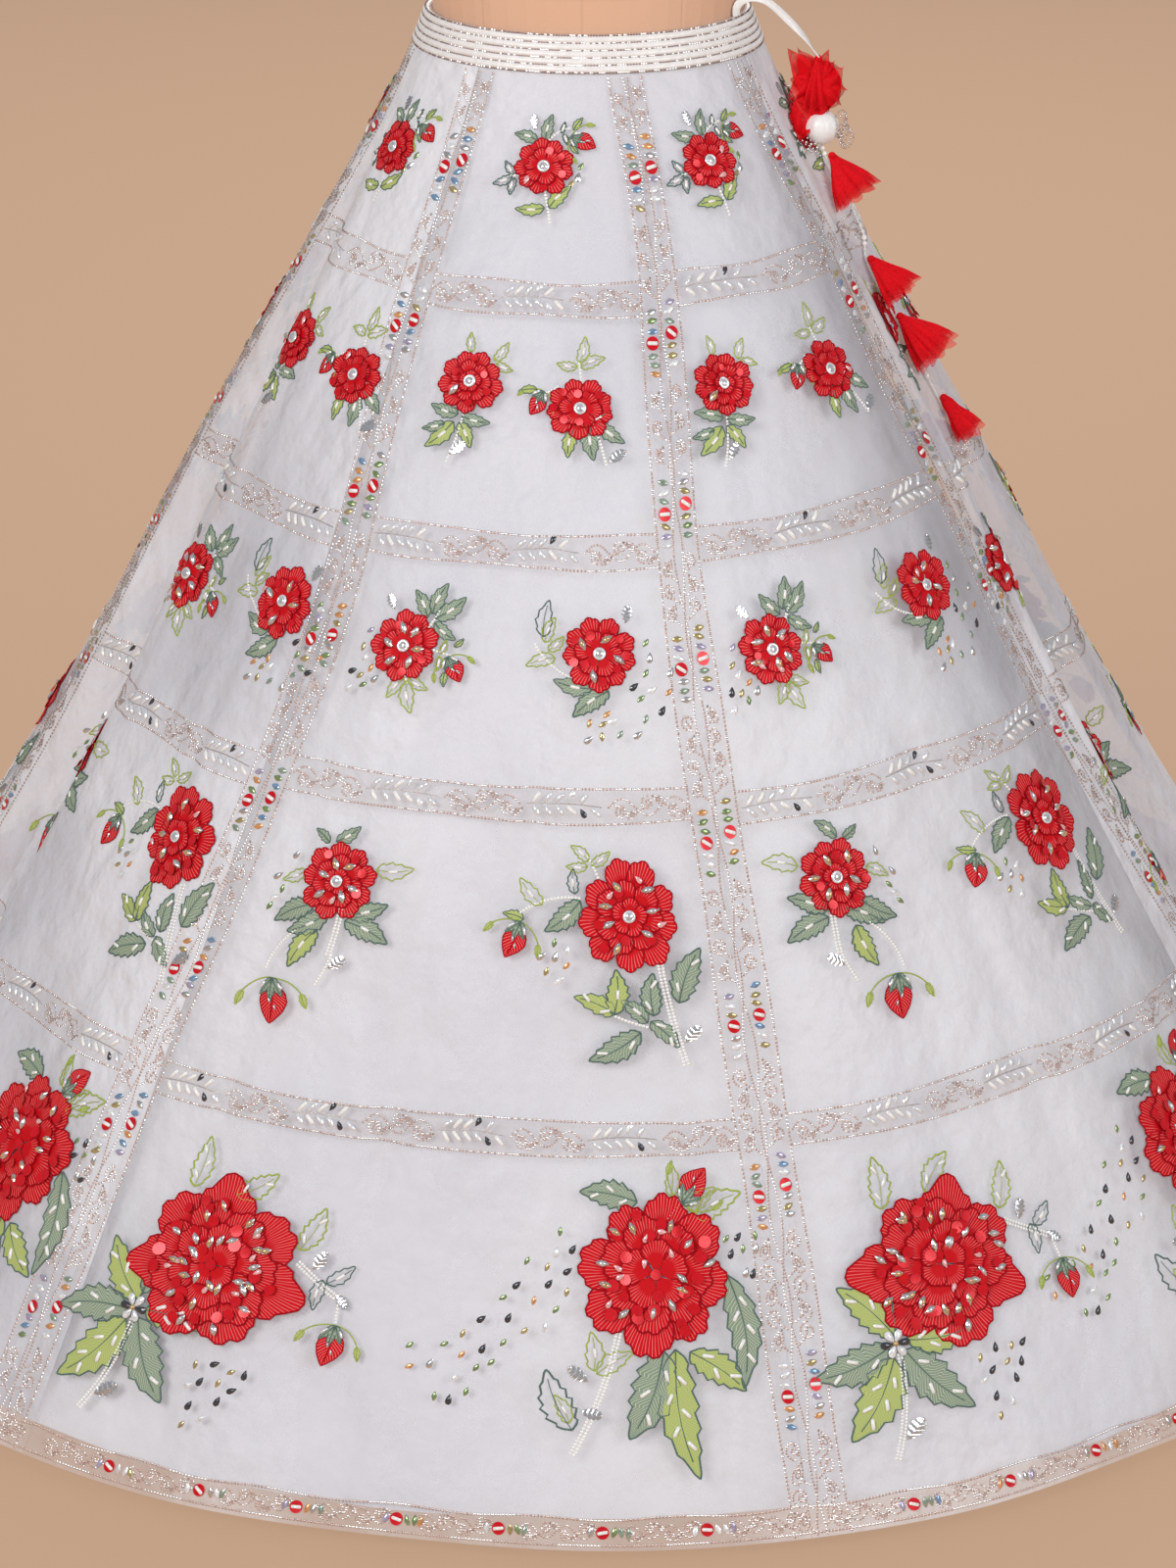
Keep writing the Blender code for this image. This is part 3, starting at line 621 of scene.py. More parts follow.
# What lies round each rose, in mm and degrees: kind, u, v, angle, length, beads or bend
SPRAYS = {
    "A": (
        ("sage", -6, 20, 165, 20, 1), ("sage", 0, 20, 76, 21, 1), ("stamp", -9, 28, 96, 13, 0),
        ("stem", 3, 21, 25, 18, -40), ("sage_line", 12, 26, 72, 9, 1), ("sage_line", 14, 25, -70, 9, 1),
        ("lime", 22, 28, 47, 12, 0), ("lime", 20, 17, -48, 9, 0), ("bud", 20, 23, -30, 21, 0),
        ("stem", -16, -6, 190, 8, 0), ("sage_line", -21, -6, 128, 13, 1), ("sage_line", -23, -8, 205, 15, 1),
        ("sage_line", -21, -9, 262, 13, 1), ("stem", 1, -16, -82, 26, -8), ("lime", 2, -31, 182, 20, 1),
        ("lime", 5, -31, 47, 22, 1),
    ),
    "B": (
        ("lime_line", -4, 22, 103, 15, 1), ("lime_line", 15, 18, 60, 17, 1), ("lime_line", 17, 16, -18, 14, 1),
        ("stem", 0, -18, 263, 43, -12), ("sage", -4, -25, 168, 22, 1), ("sage", -1, -26, -5, 21, 1),
        ("sage", -12, -33, 200, 17, 1), ("lime", -6, -31, 229, 27, 1), ("lime", -2, -31, -60, 21, 1),
        ("stamp", -4, -56, 55, 15, 0),
    ),
    "C": (
        ("stem", 0, 19, 97, 15, 0), ("lime_line", -2, 34, 84, 20, 1), ("lime_line", -4, 31, 172, 16, 1),
        ("lime_line", -1, 31, 18, 20, 1), ("stem", -18, 15, 205, 12, -30), ("bud", -28, 11, 243, 20, 0),
        ("lime", -33, 12, 190, 14, 0), ("sage", 7, -9, 34, 15, 1), ("sage", 6, -10, 187, 14, 1),
        ("sage", 8, -11, -85, 27, 1), ("sage", 14, -10, -40, 23, 1), ("lime", -4, -16, 266, 21, 1),
        ("stem", 10, -11, -70, 31, -10), ("stamp", 21, -39, 40, 15, 0),
    ),
    "D": (
        ("stamp", -13, 25, 122, 13, 0), ("sage", 14, 23, 125, 23, 1), ("sage", 17, 26, 70, 25, 1),
        ("sage", 20, 23, 43, 28, 1), ("sage", 20, 20, -30, 21, 1), ("stem", 16, 16, 62, 14, 10),
        ("stem", 23, 0, -14, 13, 0), ("lime_line", 28, -2, 74, 11, 1), ("lime_line", 28, -4, 266, 11, 1),
        ("bud", 34, -4, -56, 21, 0), ("lime", 38, 4, 48, 9, 0), ("lime", 34, -15, 272, 11, 0),
        ("stem", 3, -17, -66, 10, 0), ("lime_line", 5, -23, 240, 19, 1), ("lime_line", 7, -25, -72, 24, 1),
        ("lime_line", 8, -22, -26, 17, 1),
    ),
    "E": (
        ("stamp", 20, 21, 72, 14, 0), ("stem", -13, -19, 142, 44, -50), ("sage_line", -41, 12, 80, 27, 0),
        ("lime_line", -40, 8, 62, 20, 1), ("lime_line", -37, 2, 45, 16, 1), ("lime_line", -32, -3, 196, 22, 1),
        ("sage", -5, -25, 169, 29, 1), ("sage", 5, -27, 217, 31, 1),
    ),
    "F": (
        ("sage", -15, 26, 155, 16, 0), ("sage", -10, 28, 44, 22, 1), ("lime_line", 27, 14, 12, 28, 1),
        ("lime_line", -28, 1, 214, 20, 1), ("sage", -14, -20, 217, 34, 0), ("sage", -1, -24, 216, 34, 1),
        ("lime", -6, -38, 251, 34, 1), ("sage", 13, -22, 25, 31, 1), ("sage", 13, -27, -19, 36, 1),
        ("stems", 8, -17, -88, 37, -6), ("stem", 10, -54, 254, 24, -10), ("stamp", 10, -64, 42, 15, 0),
        ("stem", -18, -39, 248, 42, 44), ("bud", -27, -81, -80, 34, 0),
    ),
    "G": (
        ("stem", -36, 13, 200, 46, 48), ("bud", -78, -7, 248, 28, 0), ("lime", -76, -5, 165, 16, 0),
        ("lime_line", -63, 7, 132, 25, 1), ("sage_line", -39, 16, 96, 18, 1), ("sage", -35, 11, 224, 34, 1),
        ("stem", -22, 28, 120, 16, 10), ("lime_line", -29, 40, 142, 17, 1), ("lime_line", -30, 36, 180, 16, 1),
        ("lime_line", -27, 37, 36, 17, 1), ("stems", 20, -33, -81, 76, 6), ("sage", 31, -63, 66, 42, 2),
        ("stamp", 33, -92, 42, 16, 0), ("sage", 14, -72, 87, 31, 2), ("sage", 10, -77, 140, 24, 1),
        ("sage", 12, -76, -48, 26, 2), ("sage", 5, -84, 208, 39, 2), ("lime", -12, -71, 88, 33, 1),
        ("lime", -11, -70, 157, 30, 2), ("stem", -11, -72, -22, 22, 10),
    ),
    "H": (
        ("lime_line", -37, 50, 90, 39, 3), ("lime_line", 2, 54, 40, 37, 2), ("lime_line", 62, 25, 66, 36, 2),
        ("stems", 64, 15, -30, 38, 0), ("stamp", 76, 12, 60, 17, 0), ("sage_line", 88, 4, 38, 23, 1),
        ("sage_line", 85, 6, 262, 23, 1), ("stamp", 97, -3, -50, 14, 0), ("stem", 99, -4, -84, 20, 0),
        ("bud", 101, -26, -97, 31, 0), ("lime", -50, -42, 133, 54, 3), ("sage", -56, -50, 195, 58, 3),
        ("lime", -54, -58, 235, 68, 5), ("sage", -45, -54, -52, 66, 3), ("lime", -42, -47, -3, 50, 4),
        ("sage", -48, -36, 80, 26, 0), ("stems", -49, -57, 258, 76, -22), ("stamp", -58, -118, 38, 20, 0),
    ),
    "I": (
        ("sage", -13, 52, 176, 44, 3), ("stem", 10, 40, 48, 16, 0), ("bud", 21, 51, 52, 32, 0),
        ("lime_line", 13, 56, 92, 24, 0), ("lime_line", 26, 46, 34, 26, 0), ("lime_line", 31, 41, 26, 39, 1),
        ("sage_long", 52, -2, -87, 82, 5), ("sage", 5, -55, 246, 67, 3), ("lime_long", 13, -54, -81, 94, 5),
        ("lime", 23, -56, -38, 47, 3), ("stems", -26, -43, 251, 92, -14), ("lime_line", -42, -70, 98, 28, 1),
        ("lime_line", -40, -72, 30, 29, 1), ("stamp", -46, -78, 142, 17, 0), ("stamp", -50, -99, -10, 15, 0),
        ("sage_line", -55, -113, 116, 46, 0), ("lime_line", -57, -108, 118, 22, 1),
    ),
}

# Loose sequins round the roses, in mm: u, v and colour
DROPS = {
    "A": ((27, 0, "lime"), (25, -8, "clear"), (20, -13, "gold")),
    "D": ((-29, 7, "violet"), (-32, -6, "gold"), (-28, -13, "white"), (-22, -20, "orange"), (-36, -25, "dark"),
          (-29, -27, "gold"), (-17, -27, "clear"), (-25, -33, "green"), (-36, -38, "white")),
    "E": ((34, 6, "green"), (36, -5, "clear"), (32, -16, "green"), (50, -17, "clear"), (23, -25, "dark"),
          (36, -28, "white"), (47, -31, "orange"), (27, -34, "green"), (41, -44, "dark"), (3, -44, "orange"),
          (-9, -50, "orange"), (0, -51, "gold"), (7, -49, "white"), (29, -49, "sage"), (-1, -60, "gold"),
          (11, -59, "sage"), (-10, -62, "clear"), (23, -60, "clear")),
    "F": ((-43, -17, "green"), (-48, -31, "green"), (-40, 10, "clear"), (-49, -8, "clear"), (-46, -24, "white")),
    "G": ((-53, -20, "green"), (-44, -25, "white"), (-62, -30, "clear"), (-44, -36, "orange"),
          (-58, -41, "gold"), (-49, -47, "white"), (-52, -30, "clear")),
    "H": ((23, -70, "dark"), (36, -73, "gold"), (46, -73, "dark"), (9, -74, "gold"), (16, -85, "dark"),
          (29, -83, "gold"), (40, -86, "dark"), (8, -90, "white"), (32, -96, "dark"), (13, -104, "dark"),
          (24, -111, "white"), (12, -119, "gold")),
    "I": ((-70, 28, "green"), (-72, 13, "white"), (-60, 16, "dark"), (-93, 5, "green"), (-78, 2, "gold"),
          (-63, 0, "dark"), (-76, -10, "dark"), (-99, -13, "dark"), (-63, -15, "gold"), (-108, -23, "green"),
          (-86, -23, "orange"), (-70, -28, "green"), (-122, -40, "dark"), (-103, -37, "dark"), (-77, -41, "white"),
          (-91, -45, "gold"), (-134, -52, "gold"), (-105, -55, "green"), (-146, -61, "green"), (-119, -61, "dark"),
          (-170, -65, "green"), (-133, -67, "orange"), (-112, -70, "green"), (-122, -75, "green"),
          (-154, -76, "clear"), (-168, -80, "orange"), (-136, -84, "white"), (-127, -93, "green"),
          (-148, -99, "green"), (-138, -100, "dark"), (53, 24, "green"), (62, 25, "dark"), (75, 25, "green"),
          (56, 13, "dark"), (65, 16, "green"), (75, 16, "clear"), (71, -2, "dark"), (66, -1, "clear")),
}
DROP_PAINTS = {"dark": "drop_dark", "white": "drop_white", "clear": "silver", "gold": "drop_gold",
               "orange": "drop_orange", "green": "drop_green", "lime": "drop_green", "sage": "drop_sage",
               "violet": "drop_violet", "blue": "drop_blue"}

# Where each kali's roses lie: place across it from -1 to 1 and height, then the three that were measured
ROSE_PLACES = {"A": (-0.10, 0.888), "B": (-0.50, 0.748), "C": (0.42, 0.738), "D": (-0.56, 0.577),
               "E": (0.50, 0.586), "F": (-0.55, 0.421), "G": (0.62, 0.414), "H": (-0.55, 0.158),
               "I": (0.62, 0.178)}
MEASURED = {
    1: {"A": (-60.6, 0.885), "B": (-63.1, 0.747), "C": (-43.9, 0.740), "D": (-62.4, 0.576), "E": (-42.2, 0.588),
        "F": (-70.0, 0.425), "G": (-45.5, 0.417), "I": (-48.7, 0.183)},
    2: {"A": (-11.4, 0.889), "B": (-20.6, 0.750), "C": (-1.3, 0.737), "D": (-23.2, 0.578), "E": (1.4, 0.582),
        "F": (-25.2, 0.420), "G": (3.9, 0.412), "H": (-27.6, 0.156), "I": (4.8, 0.177)},
    3: {"A": (33.0, 0.888), "B": (23.8, 0.747), "C": (46.0, 0.742), "D": (23.0, 0.576), "E": (48.8, 0.590),
        "F": (25.0, 0.423), "G": (52.8, 0.415), "H": (26.1, 0.159)},
    4: {"D": (68.1, 0.576), "F": (72.6, 0.413)},
}
MIRRORED = {(3, "F")}


def spray(heap, kind, u, v, angle, length, extra):
    """One thing beside a rose, from a row of SPRAYS."""
    base, length = np.array([u * MM, v * MM]), length * MM
    angle += rng.uniform(-3, 3)
    if kind in ("stem", "stems"):
        stem(heap, base, angle, length, extra, 2 if kind == "stems" else 1)
    elif kind == "stamp":
        scatter(heap, "stamp", base, angle, length, "silver", 0.0006)
    elif kind == "bud":
        bud(heap, base, angle, length)
    else:
        fill = {"sage": "sage_fill", "sage_long": "sage_fill", "lime": "lime_fill", "lime_long": "lime_fill"}
        edge = "lime_cord" if kind == "lime_line" else "sage_cord"
        width = length * (0.30 if "long" in kind else 0.50)
        bend = 0.10 if kind == "sage_long" else rng.choice((-0.07, 0.07))
        leaf(heap, base, angle, length, width, fill.get(kind), edge, extra, bend)


def motif(letter):
    """One rose with all that lies round it, drawn flat."""
    flat = Heap()
    for row in SPRAYS[letter]:
        spray(flat, *row)
    for u, v, colour in DROPS.get(letter, ()):
        round_one = colour in ("dark", "white", "clear")
        size = 0.0024 if round_one else 0.0019
        scatter(flat, "tear" if round_one else "lens", (u * MM, v * MM), rng.uniform(30, 90), size,
                DROP_PAINTS[colour], 0.0002)
    radius, layers, stretch, tips, stones, sequins = ROSE_KINDS[letter]
    rose(flat, (0.0, 0.0), radius * MM, layers, stretch, tips, rng.uniform(0, 40), stones, sequins,
         "none" if letter in "HI" else "mirror")
    if letter == "H":
        ring = [(-51 * MM + 0.006 * math.cos(a), -48 * MM + 0.006 * math.sin(a)) for a in np.arange(6) * 1.05]
        for k, spot in enumerate(ring):
            scatter(flat, "tear", spot, 60.0 * k + 180, 0.0030, "drop_white" if k % 3 else "drop_dark", 0.0016)
        scatter(flat, "pearl", (-51 * MM, -48 * MM), 0.0, 0.0022, "stone_gold", 0.0020)
    return flat


def kali_span(number):
    start = SEAMS[number - 1]
    end = SEAMS[number % 8] + (360.0 if number == 8 else 0.0)
    return start, end


def rose_spot(number, letter):
    """Azimuth and height of a rose."""
    if letter in MEASURED.get(number, {}):
        return MEASURED[number][letter]
    place, height = ROSE_PLACES[letter]
    start, end = kali_span(number)
    return (start + end) / 2 + place * (end - start) / 2, height


def make_motifs(number):
    """The roses, leaves, beads and sequins of one kali, as one piece."""
    heap = Heap()
    for letter in ROSE_PLACES:
        azimuth, height = rose_spot(number, letter)
        mirror = (number, letter) in MIRRORED
        heap.take(motif(letter), on_patch(azimuth, height, mirror, rng.uniform(-3, 3)), mirror)
    return heap.build(f"kali_{number}_applique")


# How a seam's band wanders: height, azimuth
SEAM_LINES = {
    1: ((0.00, -40.2), (0.05, -40.1), (0.272, -39.3), (0.436, -37.2), (0.619, -34.4), (0.819, -37.0),
        (0.949, -36.7)),
    2: ((0.00, 14.2), (0.365, 13.8), (0.495, 13.3), (0.641, 12.4), (0.746, 13.4), (0.889, 14.0), (0.95, 11.6)),
    3: ((0.00, 68.0), (0.302, 67.3), (0.490, 63.2), (0.639, 61.8), (0.725, 60.9), (0.809, 61.5), (0.946, 57.2)),
}
# Half width of the seams' bands: height, metres
SEAM_HALF = ((0.0, 0.0215), (0.30, 0.0195), (0.65, 0.0155), (0.90, 0.0125), (0.951, 0.0115))
RING_HEIGHTS = (0.809, 0.646, 0.480, 0.265)
RING_HALF = 0.0120
HEM_MIDDLE, HEM_HALF = 0.0118, 0.0095
RED_RINGS = (0.885, 0.780, 0.672, 0.573, 0.460, 0.338, 0.225, 0.095)


def seam_azimuth(index, height):
    """Azimuth of the middle of a seam's band."""
    if index in SEAM_LINES:
        return read_curve(SEAM_LINES[index], height)
    return SEAMS[index] + 1.2 * np.sin(np.asarray(height) * 7.0 + index)


def on_seam(index):
    """Lays points on a seam's band: u across it and v, the height above the hem, along it."""
    def place(points):
        azimuth = seam_azimuth(index, points[:, 1])
        across, _ = scales(azimuth, points[:, 1])
        return lay(azimuth + points[:, 0] / across, points[:, 1], points[:, 2])

    return place


def on_ring(height, start, end):
    """Lays points on a band round a kali: u from 0 along it and v up from its middle, with the band's length."""
    azimuths = np.linspace(start, end, 60)
    spots = cloth(azimuths, height, folded=False)
    gone = np.concatenate([[0.0], np.cumsum(np.linalg.norm(np.diff(spots, axis=0), axis=1))])

    def place(points):
        azimuth = np.interp(points[:, 0], gone, azimuths)
        _, up = scales(azimuth, np.full(len(azimuth), height))
        return lay(azimuth, height + points[:, 1] / up, points[:, 2])

    return place, gone[-1]


def chain(heap, path, step=0.0022, size=0.00100, stretch=0):
    """A fine dotted line of rose and silver beads."""
    bead_line(heap, path, step, size, ("bead_rose", "bead_silver"), stretch)


def roundel(heap, centre, radius, start, hand, stretch=1.0):
    """A spiral worked in small beads."""
    path = spiral((0.0, 0.0), radius, start, 1.35, hand) * np.array([1.0, stretch]) + np.asarray(centre)
    chain(heap, path, 0.0021, 0.00102, 0)


def tint(heap, left, right, foot, top):
    """The netting's warm cast under a band."""
    u, v = np.meshgrid(np.linspace(left, right, 60), (foot, top), indexing="xy")
    points = np.stack([u, v, np.full_like(u, 0.00018)], -1)
    heap.add(points.reshape(-1, 3), grid_faces(2, 60), "band_tint")


def paisley(heap, centre, size, angle, stretch=1.0):
    """A drop-shaped outline in small beads round a thread."""
    a = np.linspace(0.0, 2 * math.pi, 20)
    x, y = np.cos(a) * size, np.sin(a) * np.sin(a / 2) * size * 0.62
    lean = math.radians(angle)
    u = x * math.cos(lean) - y * math.sin(lean)
    v = (x * math.sin(lean) + y * math.cos(lean)) * stretch
    path = np.stack([u, v], -1) + np.asarray(centre)
    chain(heap, path)
    cord(heap, (path[::2] - centre) * 0.45 + centre, 0.0008, "thread_rose")


def scroll(heap, start, length, half, waves=1.5):
    """A stretch of vine with roundels and paisleys either side of a waving stem."""
    t = np.linspace(0.0, 1.0, 40)
    swing = half * 0.50
    chain(heap, np.stack([start + t * length, swing * np.sin(t * waves * 2 * math.pi)], -1))
    count = int(waves * 2)
    for k in range(count):
        middle = start + length * (k + 0.5) / count
        side = -1 if k % 2 == 0 else 1
        roundel(heap, (middle, side * half * 0.24), half * 0.42, 90.0 * side, side)
        paisley(heap, (middle + length * 0.40 / count, side * half * 0.45), half * 0.36, 60.0 * side + 90)
        root = (middle - length * 0.3 / count, -side * half * 0.10)
        chain(heap, arc_path(root, 40 * side, half * 0.9, 80 * side, 8))


def bead_vine(heap, start, length, half):
    """A stem with pairs of bugle beads like leaves, and loose drops at their tips."""
    t = np.linspace(0.0, 1.0, 16)
    bow = 0.18 * half * np.sin(math.pi * t)
    cord(heap, np.stack([start + t * length, bow], -1), 0.0008, "thread_silver")
    pairs = 6
    for k in range(pairs):
        x = start + length * (0.08 + 0.16 * k)
        y = 0.18 * half * math.sin(math.pi * (0.08 + 0.16 * k))
        for side in (-1, 1):
            if k == pairs - 1 and side == 1:
                continue
            if (k + (side + 1) // 2) % 5 == 4:
                paint = "drop_dark" if rng.random() < 0.5 else "drop_white"
                scatter(heap, "tear", (x + 0.002, y + side * 0.0062), 60 * side + 180, 0.0022, paint, 0.0003)
            else:
                lean = 48 * side + rng.uniform(-10, 10)
                paint = "glass" if rng.random() < 0.6 else "bead_white"
                scatter(heap, "bugle", (x + 0.0025, y + side * 0.0046), lean, 0.00160, paint, 0.0004)


# Colours of the leaf-shaped sequins along the bands
LEAF_COLOURS = ("drop_white", "drop_green", "drop_blue", "drop_orange", "silver", "drop_gold", "drop_white",
                "drop_violet", "drop_sage")


def leaf_sequins(heap, centre, step, count):
    """Leaf-shaped sequins one after another, each lying nearly across the row."""
    across = math.degrees(math.atan2(step[1], step[0])) + 90
    for k in range(count):
        spot = (centre[0] + step[0] * k + rng.uniform(-0.0008, 0.0008),
                centre[1] + step[1] * k + rng.uniform(-0.0006, 0.0006))
        paint = LEAF_COLOURS[int(rng.integers(0, len(LEAF_COLOURS)))]
        scatter(heap, "lens", spot, across + rng.uniform(-25, 25), 0.0022, paint, 0.0007, tilt=0.15)


def red_disc(heap, spot, radius=0.0046):
    """A red sequin with a white bugle bead sewn across it."""
    scatter(heap, "sequin", spot, 0.0, radius, "red_sequin", 0.0008, tilt=0.10)
    scatter(heap, "bugle", spot, rng.uniform(-40, 15), 0.00140, "bead_white", 0.0014)


def make_ring_band(number, ring):
    """The embroidered band across one kali at one height."""
    flat = Heap()
    left, right = number - 1, number % 8
    height = RING_HEIGHTS[ring] + 0.0035 * math.sin(2.3 * number + 1.7 * ring)
    half = RING_HALF
    edge = read_curve(SEAM_HALF, height)
    first, last = seam_azimuth(left, height), seam_azimuth(right, height)
    if number == 8:
        last = seam_azimuth(0, height) + 360.0
    first += edge / scales(first, np.float64(height))[0]
    last -= edge / scales(last, np.float64(height))[0]
    place, length = on_ring(height, first, last)
    t = np.linspace(0.0, 1.0, 50)
    tint(flat, 0.0, length, -half, half)
    for side in (-1, 1):
        wander = 0.0011 * np.sin(t * 9.0 + number * 2.0 + ring + side)
        path = np.stack([t * length, side * half + wander], -1)
        bead_line(flat, path, 0.0026, 0.00112, ("bead_rose", "bead_silver"), 0)
    count = max(2, int(round(length / 0.056)))
    for k in range(count):
        piece = length / count
        if (k + number + ring) % 2:
            bead_vine(flat, k * piece + 0.003, piece - 0.006, half)
        else:
            scroll(flat, k * piece + 0.002, piece - 0.004, half)
    return flat, place


def make_hem_band(number):
    """The band along one kali's hem, with scalloped bead lines."""
    flat = Heap()
    start, end = kali_span(number)
    place, length = on_ring(HEM_MIDDLE, start, end)
    t = np.linspace(0.0, 1.0, 90)
    for offset, wave in ((-1.0, 0.0), (1.0, 0.12)):
        path = np.stack([t * length, HEM_HALF * (offset + wave * np.sin(t * 37.0 + number))], -1)
        bead_line(flat, path, 0.0026, 0.00118, ("bead_rose", "bead_silver"), 6)
    count = max(2, int(round(length / 0.075)))
    for k in range(count):
        piece = length / count
        scroll(flat, k * piece + 0.014, piece - 0.020, HEM_HALF, 2.0)
        if k:
            red_disc(flat, (k * piece, 0.0), 0.0048)
            leaf_sequins(flat, (k * piece + 0.0085, 0.0), (0.0050, 0.0), 3)
            leaf_sequins(flat, (k * piece - 0.0085, 0.0), (-0.0050, 0.0), 1)
    return flat, place


def make_rings(number):
    """All the bands across one kali, as one piece."""
    heap = Heap()
    for ring in range(len(RING_HEIGHTS)):
        flat, place = make_ring_band(number, ring)
        heap.take(flat, place)
    flat, place = make_hem_band(number)
    heap.take(flat, place)
    return heap.build(f"kali_{number}_bands")


def make_seam_band(index):
    """The embroidered band down one seam: bead borders, scrolls, sequins and pairs of red rings."""
    flat = Heap()
    heights = np.linspace(0.002, BAND_BOTTOM - 0.004, 160)
    half = read_curve(SEAM_HALF, heights)
    for side in (-1, 1):
        wander = 0.0009 * np.sin(heights * 31.0 + index + side)
        path = np.stack([side * half + wander, heights], -1)
        bead_line(flat, path, 0.0026, 0.00112, ("bead_rose", "bead_silver"), 0)
    low = np.full_like(heights, 0.00018)
    strip = np.stack([np.stack([side * half, heights, low], -1) for side in (-1, 1)], 1)
    flat.add(strip.reshape(-1, 3), grid_faces(len(heights), 2), "band_tint")
    for phase in (0.0, math.pi):
        sway = 0.15 * half * np.sin(heights * 58.0 + phase + index) + 0.0012 * math.cos(phase)
        chain(flat, np.stack([sway, heights], -1), 0.0023, 0.00100, 6)
    bounds = [BAND_BOTTOM - 0.006] + [h for h in RED_RINGS] + [0.004]
    for k, height in enumerate(RED_RINGS):
        wide = float(read_curve(SEAM_HALF, height))
        for side in (-1, 1):
            u = side * wide * 0.52
            middle = height + side * 0.0030
            red_disc(flat, (u, middle))
            for step in (-1, 1):
                leaf_sequins(flat, (u, middle + step * 0.0078), (0.0, step * 0.0060), 3)
    for top, foot in zip(bounds, bounds[1:]):
        top -= 0.028 if top in RED_RINGS else 0.002
        foot += 0.028 if foot in RED_RINGS else 0.002
        count = max(1, int(round((top - foot) / 0.016)))
        for k in range(count):
            height = foot + (top - foot) * (k + 0.5) / count
            wide = float(read_curve(SEAM_HALF, height))
            for side in (-1, 1):
                lift = height + side * 0.002
                if (k + (side + 1) // 2) % 2:
                    roundel(flat, (side * wide * 0.56, lift), wide * 0.33, 90.0 * side, side, 0.92)
                else:
                    paisley(flat, (side * wide * 0.54, lift), wide * 0.36, 90 + 25 * side, 0.95)
                path = arc_path((side * wide * 0.18, lift - 0.008), 90 - side * 30, 0.014, side * 60, 8)
                chain(flat, path)
    heap = Heap()
    heap.take(flat, on_seam(index))
    return heap.build(f"seam_{index + 1}_band")


# Kalis whose organza is gathered so closely at the skirt's sides that little shows through
DENSE_KALIS = (1, 4)


def make_kali(number):
    """One gore of sheer organza, on its solid's outer form."""
    start, end = kali_span(number)
    columns, rows = 56, 74
    edge = 0.00015
    heights = np.linspace(0.0, BAND_BOTTOM - 0.0003, rows)[:, None]
    middle = (start + end) / 2
    half = (end - start) / 2 - np.degrees(edge / np.linalg.norm(cloth(middle, heights)[..., :2], axis=-1))
    azimuths = middle + half * np.linspace(-1.0, 1.0, columns)[None]
    points = cloth(azimuths, heights + 0.0 * azimuths)
    heap = Heap()
    spans = np.linspace(0.0, 1.0, columns)
    places = np.stack(np.broadcast_arrays(spans[None], heights), -1)
    paint = "organza_dense" if number in DENSE_KALIS else "organza"
    heap.add(points.reshape(-1, 3), grid_faces(rows, columns), paint, places.reshape(-1, 2))
    made = heap.build(f"kali_{number}_cloth")
    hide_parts(f"kali_{number}")
    return made


def lining_inset(azimuth, height):
    """How far the lining's outer face lies inside the cloth's plain form."""
    side = np.abs(degrees_between(azimuth, 0.0))
    plain = cloth(azimuth, height, folded=False)
    share = read_curve(LINING_SHARE, side) * read_curve(LINING_EASE, height)
    ease = np.minimum(1.0, (BAND_BOTTOM - height) / 0.12)
    clear = LINING_CLEAR[0] + (LINING_CLEAR[1] - LINING_CLEAR[0]) * ease
    return clear + np.maximum(share, 0.0) * np.hypot(plain[..., 0], plain[..., 1])


def make_lining():
    """The opaque white satin under-skirt."""
    columns, rows = 144, 44
    azimuths = np.linspace(0.0, 360.0, columns, endpoint=False)[None]
    heights = np.linspace(LINING_END, BAND_BOTTOM - 0.0004, rows)[:, None]
    azimuths, heights = np.broadcast_arrays(azimuths, heights)
    ripple = 0.0012 * np.sin(np.radians(azimuths) * 23.0 + 2.0 * heights) * (1.0 - heights / BAND_BOTTOM)
    points = cloth(azimuths, heights, -lining_inset(azimuths, heights) - 0.0005 + ripple, folded=False)
    heap = Heap()
    heap.add(points.reshape(-1, 3), grid_faces(rows, columns, closed=True), "lining")
    made = heap.build("lining_satin")
    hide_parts(*[f"lining_{k}" for k in range(1, 9)])
    return made


BAND_STRIPES = 5
STRIPE_RISE = 0.0017


def make_waistband():
    """Five padded satin stripes round the waist, with grooves between them."""
    steps, columns = 9, 180
    azimuths = np.linspace(0.0, 360.0, columns, endpoint=False)
    loops = []
    for k in range(BAND_STRIPES * steps + 1):
        share = k / (BAND_STRIPES * steps)
        rise = STRIPE_RISE * abs(math.sin(math.pi * share * BAND_STRIPES)) ** 0.6
        loops.append(cloth(azimuths, BAND_BOTTOM + (BAND_TOP - BAND_BOTTOM) * share, rise, folded=False))
    loops.append(cloth(azimuths, BAND_TOP, -BAND_WALL, folded=False))
    loops.append(cloth(azimuths, BAND_BOTTOM, -BAND_WALL, folded=False))
    count = len(loops)
    heap = Heap()
    faces = grid_faces(count, columns, closed=True)
    last = np.arange(columns)
    close = np.stack([(count - 1) * columns + last, (count - 1) * columns + (last + 1) % columns,
                      (last + 1) % columns, last], -1)
    heap.add(np.concatenate(loops), np.concatenate([faces, close]), "band_satin")
    made = heap.build("waistband_satin")
    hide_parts("waistband")


